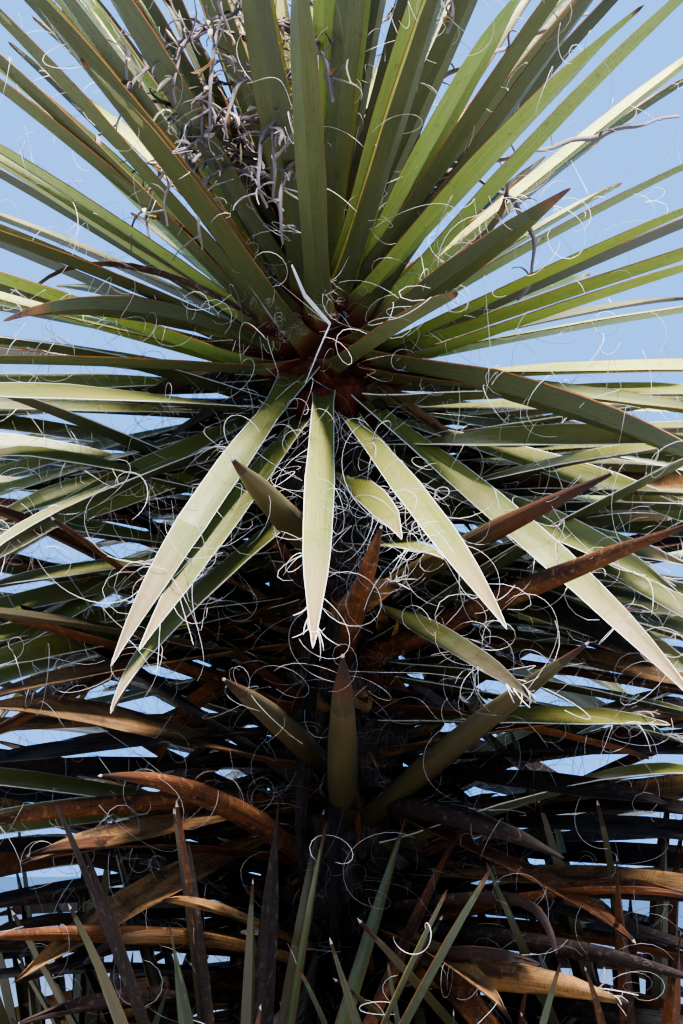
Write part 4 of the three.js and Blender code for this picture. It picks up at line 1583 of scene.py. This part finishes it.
def fibres_piece(name, leaves, settings, seed, nests=()):
    """The fibres of some leaves, splinters at their worn ends, and nests at given places."""
    chance = np.random.default_rng(FIBRE_SEED + seed)
    wanted = np.array([leaf.fibres for leaf in leaves]) * settings.fibre_share
    heap = Heap()
    for segments, turns_range, lengths, share in FIBRE_CLASSES:
        numbers = np.floor(wanted * share + chance.random(len(leaves))).astype(int)
        picks = np.repeat(np.arange(len(leaves)), numbers)
        count = len(picks)
        shares = chance.uniform(*FIBRE_PLACES, count)
        sides = chance.choice([-1.0, 1.0], count)
        start, forward, outward, up = edge_starts(leaves, picks, shares, sides)
        direction = peeled(forward, outward, up, chance)
        length = settings.fibre_length * chance.uniform(*lengths, count)
        radius = settings.fibre_radius * chance.uniform(*FIBRE_THICKNESS, count)
        turning = chance.uniform(*turns_range, count) * chance.choice([-1, 1], count)
        dead = np.array([leaves[i].look not in TWO_SIDED for i in picks])
        dull = dead | (chance.random(count) < DULL_SHARE)
        finish = np.where(dull, FINISH_NUMBER["dull_fibre"], FINISH_NUMBER["white_fibre"])
        add_fibres(heap, start, direction, segments, length, radius, turning, chance, finish)
    add_frays(heap, leaves, settings, chance)
    for centre in nests:
        add_nest(heap, np.array(centre), NEST_SPREAD, settings, chance)
    return heap.piece(name, smooth_below=180)


def trunk_fibres_piece(name, settings):
    """Old fibres that have gathered on the trunk, between the feet of the skirt's leaves."""
    chance = np.random.default_rng(FIBRE_SEED)
    heap = Heap()
    for i in range(TRUNK_NESTS):
        height = mix(SKIRT_FOOT, CROWN_FOOT, (i + 0.5) / TRUNK_NESTS)
        reach = trunk_radius(height) + TRUNK_NEST_OUT
        centre = trunk_axis(height) + level_way(i * GOLDEN_ANGLE) * reach
        add_nest(heap, centre, TRUNK_NEST_SPREAD, settings, chance)
    return heap.piece(name, smooth_below=180)


# Bark

RING_GAP = 0.005
TRUNK_COLUMNS = 120
SHOOT_COLUMNS = 56
BARK_SEED = 11
SHOOT_BARK_SEED = 31
SCALE_HALF_WIDTH = 0.026
SCALE_HEIGHT = 0.030
SCALE_PITCH = SKIRT_PITCH / SKIRT_LEAVES
SCALE_FOOT = 0.15  # how far a scale stands out at its foot, as a share of how far at its edge
SCALES_SUNK = 0.6
PLATES_SUNK = 0.8
CRACK_SLOPE = 3
# Bumps over the bark, told as the columns that one is wide and its height: clumps, grains and plates
BUMPS = ((6, 0.035), (2, 0.012), (9, 0.055))
BUMP_DEPTH = 0.5
SHEATH_SHARE = 0.85  # how much of a sheath's thickness the bark stands for
SHEATH_FADE = 0.03  # height below the lowest leaves over which their bases end
RED_BARK_ABOVE = 1.49
DARK_BARK_ABOVE = 0.42
DOME_RINGS = 5
DOME_TIP = 0.05
DOME_SHARE = 0.85


def rough_field(angles, heights, cells_round, cell_height, seed):
    """Smooth random bumps round a stem, from 0 to 1: one row a height, one column an angle."""
    rows = int(max(heights) / cell_height) + 3
    values = np.random.default_rng(seed).random((rows, cells_round))
    x = angles / (2 * math.pi) * cells_round
    y = heights / cell_height
    left = np.floor(x).astype(int)
    low = np.floor(y).astype(int)
    fx = x - left
    fy = y - low
    fx = (fx * fx * (3 - 2 * fx))[None, :]
    fy = (fy * fy * (3 - 2 * fy))[:, None]

    def at(row, column):
        return values[np.ix_(row, column % cells_round)]

    lower = at(low, left) * (1 - fx) + at(low, left + 1) * fx
    upper = at(low + 1, left) * (1 - fx) + at(low + 1, left + 1) * fx
    return lower * (1 - fy) + upper * fy


def scale_field(angles, heights, radii):
    """Shingled bases of old leaves, from 0 to 1, each rising to a sharp upper edge."""
    field_height = np.zeros((len(heights), len(angles)))
    nearest = np.floor(heights / SCALE_PITCH)
    for offset in range(int(SCALE_HEIGHT / SCALE_PITCH) + 2):
        number = nearest - offset
        centre = np.radians(number * GOLDEN_ANGLE) - math.pi / 2
        aside = (angles[None, :] - centre[:, None] + math.pi) % (2 * math.pi) - math.pi
        aside = aside * radii[:, None] / SCALE_HALF_WIDTH
        up = ((heights - number * SCALE_PITCH) / SCALE_HEIGHT)[:, None]
        shape = (1 - aside**2) * (up + SCALE_FOOT) * (up < 1)
        field_height = np.maximum(field_height, np.where(np.abs(aside) < 1, shape, 0))
    return field_height


def sheath_at(stem, height):
    """How thick the leaf bases lie on a stem at a height."""
    lowest = stem.whorls[0]
    if height < lowest.foot:
        return lowest.sheath * max(0, 1 - (lowest.foot - height) / SHEATH_FADE)
    for whorl in stem.whorls:
        if height < whorl.top:
            return whorl.sheath
    return THIN_SHEATH


def bark_piece(stem, name, columns, settings, seed, finish_by_height):
    """A closed stem with relief, from its flat foot to the dome over its tip."""
    ring_count = int((stem.top - stem.foot) / RING_GAP) + 2
    heights = np.linspace(stem.foot, stem.top, ring_count)
    angles = np.arange(columns) * 2 * math.pi / columns
    bare = np.array([stem.radius(z) for z in heights])
    sheath = np.array([sheath_at(stem, z) for z in heights])
    leafy = np.clip(sheath / THIN_SHEATH, 0, 1)[:, None]
    scales = scale_field(angles, heights, bare)
    clumps, grains, plates = (
        rough_field(angles, heights, columns // wide, high, seed + number)
        for number, (wide, high) in enumerate(BUMPS)
    )
    cracks = np.minimum(np.abs(plates - 0.5) * 2 * CRACK_SLOPE, 1)
    relief = leafy * (scales - SCALES_SUNK) + (1 - leafy) * (cracks - PLATES_SUNK)
    relief = relief + (clumps - 0.5) * BUMP_DEPTH + (grains - 0.5) * BUMP_DEPTH
    radii = bare + sheath * SHEATH_SHARE - SHEATH_GAP
    relief = relief * settings.relief * np.minimum(1, radii / SHAFT_TOP_RADIUS)[:, None]
    relief[0] = np.minimum(relief[0], 0)
    full = radii[:, None] + relief
    rounding = np.linspace(1, 0, DOME_RINGS + 1)[1:] ** 0.5
    full[-DOME_RINGS:] *= rounding[:, None] * DOME_SHARE + DOME_TIP
    centres = np.array([stem.axis(z) for z in heights])
    outward = np.stack([np.cos(angles), np.sin(angles), 0 * angles], axis=-1)
    rings = centres[:, None] + outward[None] * full[..., None]
    heap = Heap()
    unrolled = np.broadcast_arrays(angles[None] * bare[:, None], heights[:, None], np.zeros(1))
    middles = (heights[1:] + heights[:-1]) / 2
    finishes = np.repeat([FINISH_NUMBER[finish_by_height(z)] for z in middles], columns)
    foot = FINISH_NUMBER["old_bark"]
    heap.add_limbs(rings[None], np.stack(unrolled, axis=-1), finishes, foot, finishes[-1])
    return heap.piece(name, smooth_below=70)


def trunk_finish(height):
    if height > RED_BARK_ABOVE:
        return "red_bark"
    return "dark_bark" if height > DARK_BARK_ABOVE else "old_bark"


# Broken old leaf bases that stand out of the bark

SHARD_SEED = 3_100
SHARD_LOOKS = (("umber", 0.4), ("grey", 0.25), ("tan", 0.15), ("orange", 0.2))
SHARD_LENGTH = (0.025, 0.110)
STUB_LENGTH = (0.110, 0.260)
STUB_SHARE = 0.4
STUB_SLOPE = 0.5  # how steep a stub stands, as a share of how steep the shorter ones do
SHARD_SHAPE = {
    "elevation": (-75, 60), "width": (0.012, 0.030),
    "droop": (-30, 50), "swing": (-60, 60), "roll": (-60, 60),
}
SHARD_TONE = (0.7, 1.3)
SHARD_CHANNEL = (0.8, 2.6)
SHARDS_FROM = 0.03
SHOOT_SHARDS_FROM = 0.12  # above a side shoot's foot
SHOOT_SHARDS = 1 / 8  # on a side shoot, as a share of those on the trunk
SEEDS_PER_SHARDS = 1000
NO_SHARDS = 1.36  # above this height none stands at the front, before the placed leaves


def shard_leaves(stem, count, seed, low, high):
    """Short broken leaf bases, scattered over a stem."""
    leaves = []
    for i in range(count):
        throw = dice(seed + i)
        height = mix(low, high, throw())
        azimuth = i * GOLDEN_ANGLE
        length = mix(*SHARD_LENGTH, throw() ** 2)
        if throw() < STUB_SHARE and angle_between(azimuth, 0) > FRONT and height > SKIRT_FOOT:
            length = mix(*STUB_LENGTH, throw())
        shard = Leaf(
            root=stem.axis(height) + level_way(azimuth) * stem.radius(height),
            azimuth=azimuth, length=length, **thrown(throw, SHARD_SHAPE),
            look=chosen(SHARD_LOOKS, throw()), tone=mix(*SHARD_TONE, throw()),
            channel=mix(*SHARD_CHANNEL, throw()),
        )
        if length > SHARD_LENGTH[1]:
            shard = resized(shard, {"elevation": STUB_SLOPE})
        hidden = height > NO_SHARDS and angle_between(azimuth, 0) < FRONT
        if inside_box(shard) and not hidden:
            leaves.append(shard)
    return leaves


def shards_piece(name, leaves):
    heap = Heap()
    rows = [leaf_finishes(leaf, PLAIN_SHARES, PLAIN_CUT.strips) for leaf in leaves]
    add_blades(heap, leaves, PLAIN_SHARES, PLAIN_CUT, np.array(rows))
    return heap.piece(name, smooth_below=50)


# The dry flower stalk

STALK_POINTS = 28
STALK_GAP = 0.0003  # between the trunk's tip and the stalk
BRANCH_POINTS = 40
WIGGLE = 11  # degrees that a branch bends to and fro
WIGGLE_LENGTH = 0.055
SWAY_RATE = 4.4  # radians of the sideways bend over the length of a wiggle
PHASE_STEP = 1.9  # radians from one branch's wiggle to the next one's
TUBE_SHIFT = 9  # how far a limb's pattern is shifted for each metre that it starts to the side
NEARLY_UPRIGHT = 0.9
BARE_BRANCHES = 3
BARE_RADIUS = (0.0046, 0.0027)
SEEDS_PER_BRANCH = 60

TWIG_SEED = 7500
TWIG_GAP = 0.016
BARE_TWIG_GAP = 0.045
TWIG_POINTS = 9
TWIG_PLACES = (0.15, 0.97)
TWIG_RADIUS = (0.0019, 0.0007)
TWIG_WIGGLE = 14
TWIG_SHAPE = {
    "azimuth": (0, 360), "elevation": (-30, 70), "length": (0.020, 0.075),
    "droop": (-60, 160), "swing": (-120, 120), "phase": (0, 6),
}

BRACT_SEED = 7900
BRACT_SHARE = 0.55
BRACT_SHAPE = {
    "azimuth": (0, 360), "elevation": (-60, 70), "length": (0.008, 0.030), "width": (0.0015, 0.006),
    "droop": (-80, 160), "swing": (-60, 60), "roll": (-90, 90), "channel": (1.5, 3.0),
}
BRACT_FINISHES = ("bract_paper", "bract_paper", "stalk_bark", "tan_leaf", "umber_leaf")
FINISH_STEP = 2  # from one bract to the next


@dataclass(frozen=True)
class Branch:
    """A branch of the flower stalk, with its line and radii."""

    line: np.ndarray
    radii: np.ndarray
    bare: bool  # without bracts, and with few twigs


def bent_line(start, azimuth, elevation, length, droop, swing, points, wiggle=0.0, phase=0.0):
    """A line that droops and swings to the side with the square of the way along it."""
    share = (np.arange(points - 1) + 0.5) / (points - 1)
    wave = np.sin(share * length / WIGGLE_LENGTH * 2 * math.pi + phase) * wiggle
    sway = np.cos(share * length / WIGGLE_LENGTH * SWAY_RATE + phase * 2) * wiggle
    turn = np.radians(azimuth + swing * share**2 + sway)
    rise = np.radians(elevation - droop * share**2 + wave)
    steps = heading(turn, rise) * length / (points - 1)
    return np.concatenate([[start], start + np.cumsum(steps, axis=0)])


def add_tube(heap, line, radii, sides, flat, twist, finish):
    """Adds a closed limb along a line. Flat squeezes its section, and twist turns that along it."""
    forward = unit(np.gradient(line, axis=0))
    across = np.zeros_like(line)
    guide = np.array([0.0, 0.0, 1.0])
    if abs(forward[0][2]) >= NEARLY_UPRIGHT:
        guide = np.array([1.0, 0.0, 0.0])
    for i, way in enumerate(forward):
        guide = unit(guide - way * guide.dot(way))
        across[i] = guide
    beside = np.cross(forward, across)
    turn = np.arange(sides) * 2 * math.pi / sides
    spin = np.linspace(0, math.radians(twist), len(line))[:, None]
    wide = np.cos(turn)[None]
    high = np.sin(turn)[None] * flat
    x = wide * np.cos(spin) - high * np.sin(spin)
    y = wide * np.sin(spin) + high * np.cos(spin)
    size = radii[:, None, None]
    rings = line[:, None] + (across[:, None] * x[..., None] + beside[:, None] * y[..., None]) * size
    along = np.concatenate([[0], np.cumsum(np.linalg.norm(np.diff(line, axis=0), axis=1))])
    arc = turn[None] * radii[:, None]
    places = np.broadcast_arrays(arc + line[0, 0] * TUBE_SHIFT, along[:, None], 0)
    heap.add_limbs(rings[None], np.stack(places, axis=-1), finish, finish, finish)


def stalk_branches():
    """The stalk's line, and its branches as the source grows them, with a bend to and fro."""
    stalk = bent_line(trunk_axis(TRUNK_TOP) + (0, 0, STALK_GAP), *STALK, STALK_POINTS)
    rows = [*PLACED_BRANCHES, *HANGING_BRANCHES]
    for b in range(BRANCHES):
        throw = dice(BRANCH_SEED + b)
        share = b / (BRANCHES - 1)
        rise = mix(*BRANCH_ELEVATION, share) + spread(throw, BRANCH_ELEVATION_SPREAD)
        reach = mix(*BRANCH_LENGTH, share) * (1 + spread(throw, BRANCH_LENGTH_SPREAD))
        hang = mix(*BRANCH_DROOP, throw())
        swing = spread(throw, BRANCH_SWING_SPREAD)
        rows.append((mix(*BRANCH_PLACES, share), b * GOLDEN_ANGLE, rise, reach, hang, swing))
    branches = []
    for number, (place, *bend) in enumerate(rows):
        start = stalk[round(place * (STALK_POINTS - 1))]
        line = bent_line(start, *bend, BRANCH_POINTS, WIGGLE, number * PHASE_STEP)
        bare = number < BARE_BRANCHES
        radii = np.linspace(*(BARE_RADIUS if bare else BRANCH_RADIUS), BRANCH_POINTS)
        branches.append(Branch(line, radii, bare))
    return stalk, branches


def twig_lines(branch, seed):
    """Short twigs that leave a branch to both sides in turn."""
    span = np.linalg.norm(np.diff(branch.line, axis=0), axis=1).sum()
    count = int(span / (BARE_TWIG_GAP if branch.bare else TWIG_GAP))
    twigs = []
    for i in range(count):
        throw = dice(seed + i)
        at = int(mix(*TWIG_PLACES, (i + throw()) / count) * (len(branch.line) - 1))
        shape = thrown(throw, TWIG_SHAPE)
        twigs.append(bent_line(branch.line[at], points=TWIG_POINTS, wiggle=TWIG_WIGGLE, **shape))
    return twigs


# Settings that a user would change

def colour_setting(name, description, *screen):
    return FloatVectorProperty(
        name=name, description=description, subtype="COLOR", size=3, min=0, max=1, default=paint(*screen)
    )


def number_setting(name, description, default, low=0, unit="NONE"):
    return FloatProperty(name=name, description=description, default=default, min=low, unit=unit)


class YuccaColours(PropertyGroup):
    """Colours of the plant's finishes."""

    # The faces of each look are lit and shaded copies of one colour: painted light on the upper faces,
    # painted shade on the lower ones.
    green_upper: colour_setting("Green, above", "Upper face of a living leaf", 117, 118, 74)
    green_under: colour_setting("Green, below", "Lower face of a living leaf", 80, 82, 51)
    # The light green look is painted light: lighter colours for the crown's leaves that the sun shines
    # through.
    lime_upper: colour_setting("Light green, above", "Upper face of a young leaf", 160, 164, 95)
    lime_under: colour_setting("Light green, below", "Lower face of a young leaf", 134, 146, 74)
    olive_upper: colour_setting("Olive, above", "Upper face of an ageing leaf", 108, 110, 52)
    olive_under: colour_setting("Olive, below", "Lower face of an ageing leaf", 72, 78, 50)
    ripe: colour_setting("Ripe olive", "Leaves that are about to die", 88, 78, 48)
    orange: colour_setting("Orange-brown", "Newly dead leaves", 116, 68, 36)
    tan: colour_setting("Tan", "Dry leaves", 158, 116, 72)
    grey: colour_setting("Grey", "Weathered leaves", 96, 88, 80)
    umber: colour_setting("Dark brown", "Old dead leaves", 66, 46, 36)
    pale_margin: colour_setting("Pale margin", "Edge of an ageing leaf", 206, 200, 184)
    orange_margin: colour_setting("Orange margin", "Edge of a living leaf", 128, 74, 36)
    dry_tip: colour_setting("Dry tip", "Where the dry tip begins", 128, 86, 52)
    purple_tip: colour_setting("Purple tip", "The dry tip", 74, 46, 38)
    mauve_tip: colour_setting("Mauve tip", "The dry tip of an ageing leaf", 138, 108, 80)
    tip_spine: colour_setting("Spine", "The point at the tip", 206, 188, 172)
    red_base: colour_setting("Red base", "Clasping foot of a leaf", 84, 44, 30)
    cream_base: colour_setting("Cream base", "Pale stretch above the foot", 120, 112, 66)
    # The dark bark colour is the bark's own; its darker copy in the clumps is painted shade in the
    # hollows.
    bark_dark: colour_setting("Bark, dark", "Hollows of the bark", 50, 41, 35)
    bark_light: colour_setting("Bark, light", "Worn edges of the bark", 110, 94, 82)
    fibre: colour_setting("Fibres", "Threads that peel off the margins", 214, 208, 202)
    fray: colour_setting("Frayed ends", "Splinters at worn tips", 206, 196, 188)
    stalk_bark: colour_setting("Flower stalk", "Dry twigs of the flower stalk", 114, 100, 100)
    bract_paper: colour_setting("Bracts", "Papery bracts on the twigs", 188, 174, 148)
    bleached_leaf: colour_setting("Bleached leaf", "The pale broken leaf in front", 208, 202, 206)


class YuccaLeafSettings(PropertyGroup):
    """Sizes of leaves and fibres."""

    fullness: number_setting("Fullness", "Leaves that are added, as a share of the solids' own", 1.5)
    fibre_share: number_setting("Fibres", "How many fibres peel off, as a share of the usual", 1.0)
    fibre_length: number_setting("Fibre length", "Length of the longest fibres", 0.155, 0.01, "LENGTH")
    fibre_radius: number_setting("Fibre radius", "Radius of a fibre", 0.00035, 0.0001, "LENGTH")


class YuccaBarkSettings(PropertyGroup):
    """Sizes of the bark."""

    relief: number_setting("Relief", "Depth of the bark's relief", 0.008, unit="LENGTH")
    shards: IntProperty(name="Shards", description="Broken leaf bases on the trunk", default=700, min=0)


class YuccaStageSettings(PropertyGroup):
    """Sizes of the floor and strengths of the lights."""

    floor_size: number_setting("Floor", "Side of the floor", 40, 2, "LENGTH")
    floor_colour: colour_setting("Floor colour", "Colour of the floor", 190, 187, 181)
    surround_colour: colour_setting("Surroundings", "Colour of the light from all sides", 126, 180, 252)
    surround_strength: number_setting("Surrounding light", "Strength of the light from all sides", 1.35)
    key_power: number_setting("Key light", "Power of the high lamp in front", 1350, unit="POWER")
    fill_power: number_setting("Side light", "Power of each wide lamp", 60, unit="POWER")


# Operators

def all_leaves(whorls):
    plan = planned_leaves(bpy.context.scene.yucca_leaves.fullness)
    return [leaf for whorl in whorls for leaf in plan[whorl.node]]


def trunk_whorls(kind):
    return [whorl for whorl in TRUNK.whorls if whorl.kind == kind]


def grow_leaves(name, whorls, slot, more=()):
    """Makes a piece of the leaves of whorls, which stands for the whorls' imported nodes."""
    piece = leaves_piece(name, [*all_leaves(whorls), *more])
    finish_piece(piece, slot, *(whorl.node for whorl in whorls))


class YUCCA_OT_bark(Operator):
    """Grow the bark of the trunk and of the side shoots"""

    bl_idname = "yucca.bark"
    bl_label = "Bark"

    def execute(self, context):
        settings = context.scene.yucca_bark
        trunk = bark_piece(TRUNK, "trunk_bark", TRUNK_COLUMNS, settings, BARK_SEED, trunk_finish)
        finish_piece(trunk, "bark", "trunk")
        for number, stem in enumerate(SHOOT_STEMS):
            name = f"{stem.name}_bark"
            seed = SHOOT_BARK_SEED + number
            piece = bark_piece(stem, name, SHOOT_COLUMNS, settings, seed, lambda z: "dark_bark")
            finish_piece(piece, "bark", f"{stem.name}_stem")
        return {"FINISHED"}


class YUCCA_OT_shards(Operator):
    """Scatter broken leaf bases over the bark"""

    bl_idname = "yucca.shards"
    bl_label = "Broken leaf bases"

    def execute(self, context):
        count = context.scene.yucca_bark.shards
        leaves = shard_leaves(TRUNK, count, SHARD_SEED, SHARDS_FROM, CROWN_FOOT)
        for number, stem in enumerate(SHOOT_STEMS):
            seed = SHARD_SEED + (number + 1) * SEEDS_PER_SHARDS
            low = stem.foot + SHOOT_SHARDS_FROM
            leaves += shard_leaves(stem, int(count * SHOOT_SHARDS), seed, low, stem.whorls[0].foot)
        finish_piece(shards_piece("broken_leaf_bases", leaves), "bark")
        return {"FINISHED"}


class YUCCA_OT_crown_leaves(Operator):
    """Grow the living leaves of the crown"""

    bl_idname = "yucca.crown_leaves"
    bl_label = "Crown leaves"

    def execute(self, context):
        grow_leaves("crown_leaves", trunk_whorls("green"), "green_leaf", odd_leaves())
        return {"FINISHED"}


class YUCCA_OT_skirt_leaves(Operator):
    """Grow the ageing and the dead leaves of the skirt"""

    bl_idname = "yucca.skirt_leaves"
    bl_label = "Skirt leaves"

    def execute(self, context):
        for kind in ("ageing", "dead"):
            grow_leaves(f"{kind}_skirt_leaves", trunk_whorls(kind), f"{kind}_leaf")
        return {"FINISHED"}


class YUCCA_OT_shoot_leaves(Operator):
    """Grow the leaves of the side shoots"""

    bl_idname = "yucca.shoot_leaves"
    bl_label = "Shoot leaves"

    def execute(self, context):
        for stem in SHOOT_STEMS:
            grow_leaves(f"{stem.name}_leaves", stem.whorls, "green_leaf")
        return {"FINISHED"}


class YUCCA_OT_fibres(Operator):
    """Peel curling fibres off the margins of all leaves"""

    bl_idname = "yucca.fibres"
    bl_label = "Leaf fibres"

    def execute(self, context):
        settings = context.scene.yucca_leaves
        groups = {
            "crown_fibres": trunk_whorls("green"),
            "upper_skirt_fibres": trunk_whorls("ageing")[5:],
            "middle_skirt_fibres": trunk_whorls("ageing")[:5],
            "lower_skirt_fibres": trunk_whorls("dead"),
            "shoot_fibres": [whorl for stem in SHOOT_STEMS for whorl in stem.whorls],
        }
        for seed, (name, whorls) in enumerate(groups.items()):
            nests = NESTS if name == "crown_fibres" else ()
            leaves = all_leaves(whorls) + (odd_leaves() if nests else [])
            piece = fibres_piece(name, leaves, settings, seed, nests)
            finish_piece(piece, "ageing_leaf")
        finish_piece(trunk_fibres_piece("trunk_fibres", settings), "ageing_leaf")
        return {"FINISHED"}


class YUCCA_OT_flower_stalk(Operator):
    """Grow the dry flower stalk with its branches, twigs and bracts"""

    bl_idname = "yucca.flower_stalk"
    bl_label = "Flower stalk"

    def execute(self, context):
        stalk, branches = stalk_branches()
        finish = FINISH_NUMBER["stalk_bark"]
        heap = Heap()
        radii = np.linspace(*STALK_RADIUS, STALK_POINTS)
        add_tube(heap, stalk, radii, sides=10, flat=0.85, twist=200, finish=finish)
        twig_radii = np.linspace(*TWIG_RADIUS, TWIG_POINTS)
        bracts = []
        for number, branch in enumerate(branches):
            add_tube(heap, branch.line, branch.radii, sides=8, flat=0.6, twist=500, finish=finish)
            seed = number * SEEDS_PER_BRANCH
            for i, twig in enumerate(twig_lines(branch, TWIG_SEED + seed)):
                add_tube(heap, twig, twig_radii, sides=5, flat=0.7, twist=300, finish=finish)
                throw = dice(BRACT_SEED + seed + i)
                for at in (0, TWIG_POINTS // 2):
                    if throw() < BRACT_SHARE and not branch.bare:
                        bracts.append(Leaf(root=twig[at], **thrown(throw, BRACT_SHAPE)))
        stalk_piece = heap.piece("dry_flower_stalk", smooth_below=50)
        finish_piece(stalk_piece, "dry_stalk", "flower_stalk")
        papers = Heap()
        shape = (len(bracts), len(PLAIN_SHARES) - 1, len(PLAIN_CUT.strips))
        kinds = np.array([FINISH_NUMBER[name] for name in BRACT_FINISHES])
        finishes = kinds[np.arange(len(bracts)) * FINISH_STEP % len(kinds)]
        finishes = np.broadcast_to(finishes[:, None, None], shape)
        add_blades(papers, bracts, PLAIN_SHARES, PLAIN_CUT, finishes)
        finish_piece(papers.piece("dry_bracts", smooth_below=60), "dry_stalk")
        return {"FINISHED"}


class YUCCA_OT_bleached_leaf(Operator):
    """Hang the bleached, broken leaf in front of the crown's foot"""

    bl_idname = "yucca.bleached_leaf"
    bl_label = "Bleached leaf"

    def execute(self, context):
        corners = np.array(SLIVER_POINTS)
        steps = np.linspace(0, len(corners) - 1, SLIVER_STEPS)
        line = np.stack([np.interp(steps, range(len(corners)), column) for column in corners.T], axis=-1)
        shape = np.maximum(SLIVER_NARROWEST, np.sin(np.linspace(*SLIVER_BULGE, SLIVER_STEPS)))
        radii = SLIVER_WIDTH / 2 * shape
        heap = Heap()
        finish = FINISH_NUMBER["bleached_leaf"]
        add_tube(heap, line, radii, sides=8, flat=0.25, twist=60, finish=finish)
        finish_piece(heap.piece("bleached_leaf", smooth_below=50), "ageing_leaf")
        return {"FINISHED"}


# Lamps: name, size, place and the height that they point at. The wide ones also have a share of the
# side light's power.
KEY_LAMP = ("key_light", 0.7, (0.7, -1.5, 6.2), 1.3)
WIDE_LAMPS = (
    (1, "left_light", 2.5, (-3.4, -1.6, 2.4), 1.2),
    (1, "right_light", 2.5, (3.4, 1.2, 2.6), 1.2),
    (1, "back_light", 2.5, (-0.8, 3.6, 2.8), 1.2),
    (0.55, "front_light", 2.5, (-0.6, -4.0, 0.9), 0.9),
)
FLOOR_GRAIN = (40, 40, 40)
FLOOR_SHADE = 0.97
FLOOR_ROUGHNESS = (0.7, 0.8)
FLOOR_DEPTH = 0.0002


def add_lamp(power, name, size, place, aim):
    data = bpy.data.lights.new(name, "AREA")
    data.energy = power
    data.shape = "DISK"
    data.size = size
    light = new_object(name, data)
    light.location = place
    light.rotation_euler = (Vector((0, 0, aim)) - Vector(place)).to_track_quat("-Z", "Y").to_euler()


def add_floor(settings):
    half = settings.floor_size / 2
    mesh = bpy.data.meshes.new("floor")
    corners = [(-half, -half, 0), (half, -half, 0), (half, half, 0), (-half, half, 0)]
    mesh.from_pydata(corners, [], [(0, 1, 2, 3)])
    material = bpy.data.materials.new("pale_floor")
    nodes = Nodes(material)
    grain = nodes.noise(nodes.add("ShaderNodeTexCoord").outputs["Object"], FLOOR_GRAIN, 4)
    tone = nodes.mixed(grain, scaled(settings.floor_colour, FLOOR_SHADE), settings.floor_colour)
    nodes.finish(tone, nodes.ranged(grain, (0, 1), FLOOR_ROUGHNESS), grain, FLOOR_DEPTH)
    mesh.materials.append(material)
    floor = new_object("floor", mesh)


def add_surroundings(settings):
    world = bpy.data.worlds.new("surroundings")
    world.use_nodes = True
    background = world.node_tree.nodes["Background"]
    background.inputs["Color"].default_value = (*settings.surround_colour, 1)
    background.inputs["Strength"].default_value = settings.surround_strength
    bpy.context.scene.world = world


def add_camera():
    data = bpy.data.cameras.new("camera")
    data.sensor_fit = "AUTO"
    data.sensor_width = SENSOR
    data.lens = SENSOR * FOCAL_PIXELS / LONG_SIDE
    camera = new_object("camera", data)
    camera.location = CAMERA_PLACE
    camera.rotation_euler = (math.radians(90 + CAMERA_PITCH), 0, 0)
    bpy.context.scene.camera = camera


class YUCCA_OT_stage(Operator):
    """Set up the floor, the lights and the camera"""

    bl_idname = "yucca.stage"
    bl_label = "Stage"

    def execute(self, context):
        settings = context.scene.yucca_stage
        add_floor(settings)
        add_surroundings(settings)
        add_lamp(settings.key_power, *KEY_LAMP)
        for share, *lamp in WIDE_LAMPS:
            add_lamp(settings.fill_power * share, *lamp)
        add_camera()
        return {"FINISHED"}


SETTINGS = {
    "yucca_colours": YuccaColours,
    "yucca_leaves": YuccaLeafSettings,
    "yucca_bark": YuccaBarkSettings,
    "yucca_stage": YuccaStageSettings,
}
OPERATORS = (
    YUCCA_OT_bark,
    YUCCA_OT_shards,
    YUCCA_OT_crown_leaves,
    YUCCA_OT_skirt_leaves,
    YUCCA_OT_shoot_leaves,
    YUCCA_OT_fibres,
    YUCCA_OT_flower_stalk,
    YUCCA_OT_bleached_leaf,
    YUCCA_OT_stage,
)


class YUCCA_PT_panel(Panel):
    """The yucca's settings and steps"""

    bl_idname = "YUCCA_PT_panel"
    bl_label = "Mojave yucca"
    bl_space_type = "VIEW_3D"
    bl_region_type = "UI"
    bl_category = "Yucca"

    def draw(self, context):
        for name, group in SETTINGS.items():
            box = self.layout.box()
            for setting in group.__annotations__:
                box.prop(getattr(context.scene, name), setting)
        for operator in OPERATORS:
            self.layout.operator(operator.bl_idname)


def register():
    for group in SETTINGS.values():
        bpy.utils.register_class(group)
    for name, group in SETTINGS.items():
        setattr(bpy.types.Scene, name, PointerProperty(type=group))
    for step in (*OPERATORS, YUCCA_PT_panel):
        bpy.utils.register_class(step)


def unregister():
    for step in (YUCCA_PT_panel, *reversed(OPERATORS)):
        bpy.utils.unregister_class(step)
    for name, group in reversed(SETTINGS.items()):
        delattr(bpy.types.Scene, name)
        bpy.utils.unregister_class(group)


def main():
    register()
    bpy.context.scene.view_settings.view_transform = "AgX"
    bpy.context.scene.view_settings.look = "AgX - High Contrast"
    for operator in OPERATORS:
        area, name = operator.bl_idname.split(".")
        getattr(getattr(bpy.ops, area), name)()


if __name__ == "__main__":
    main()
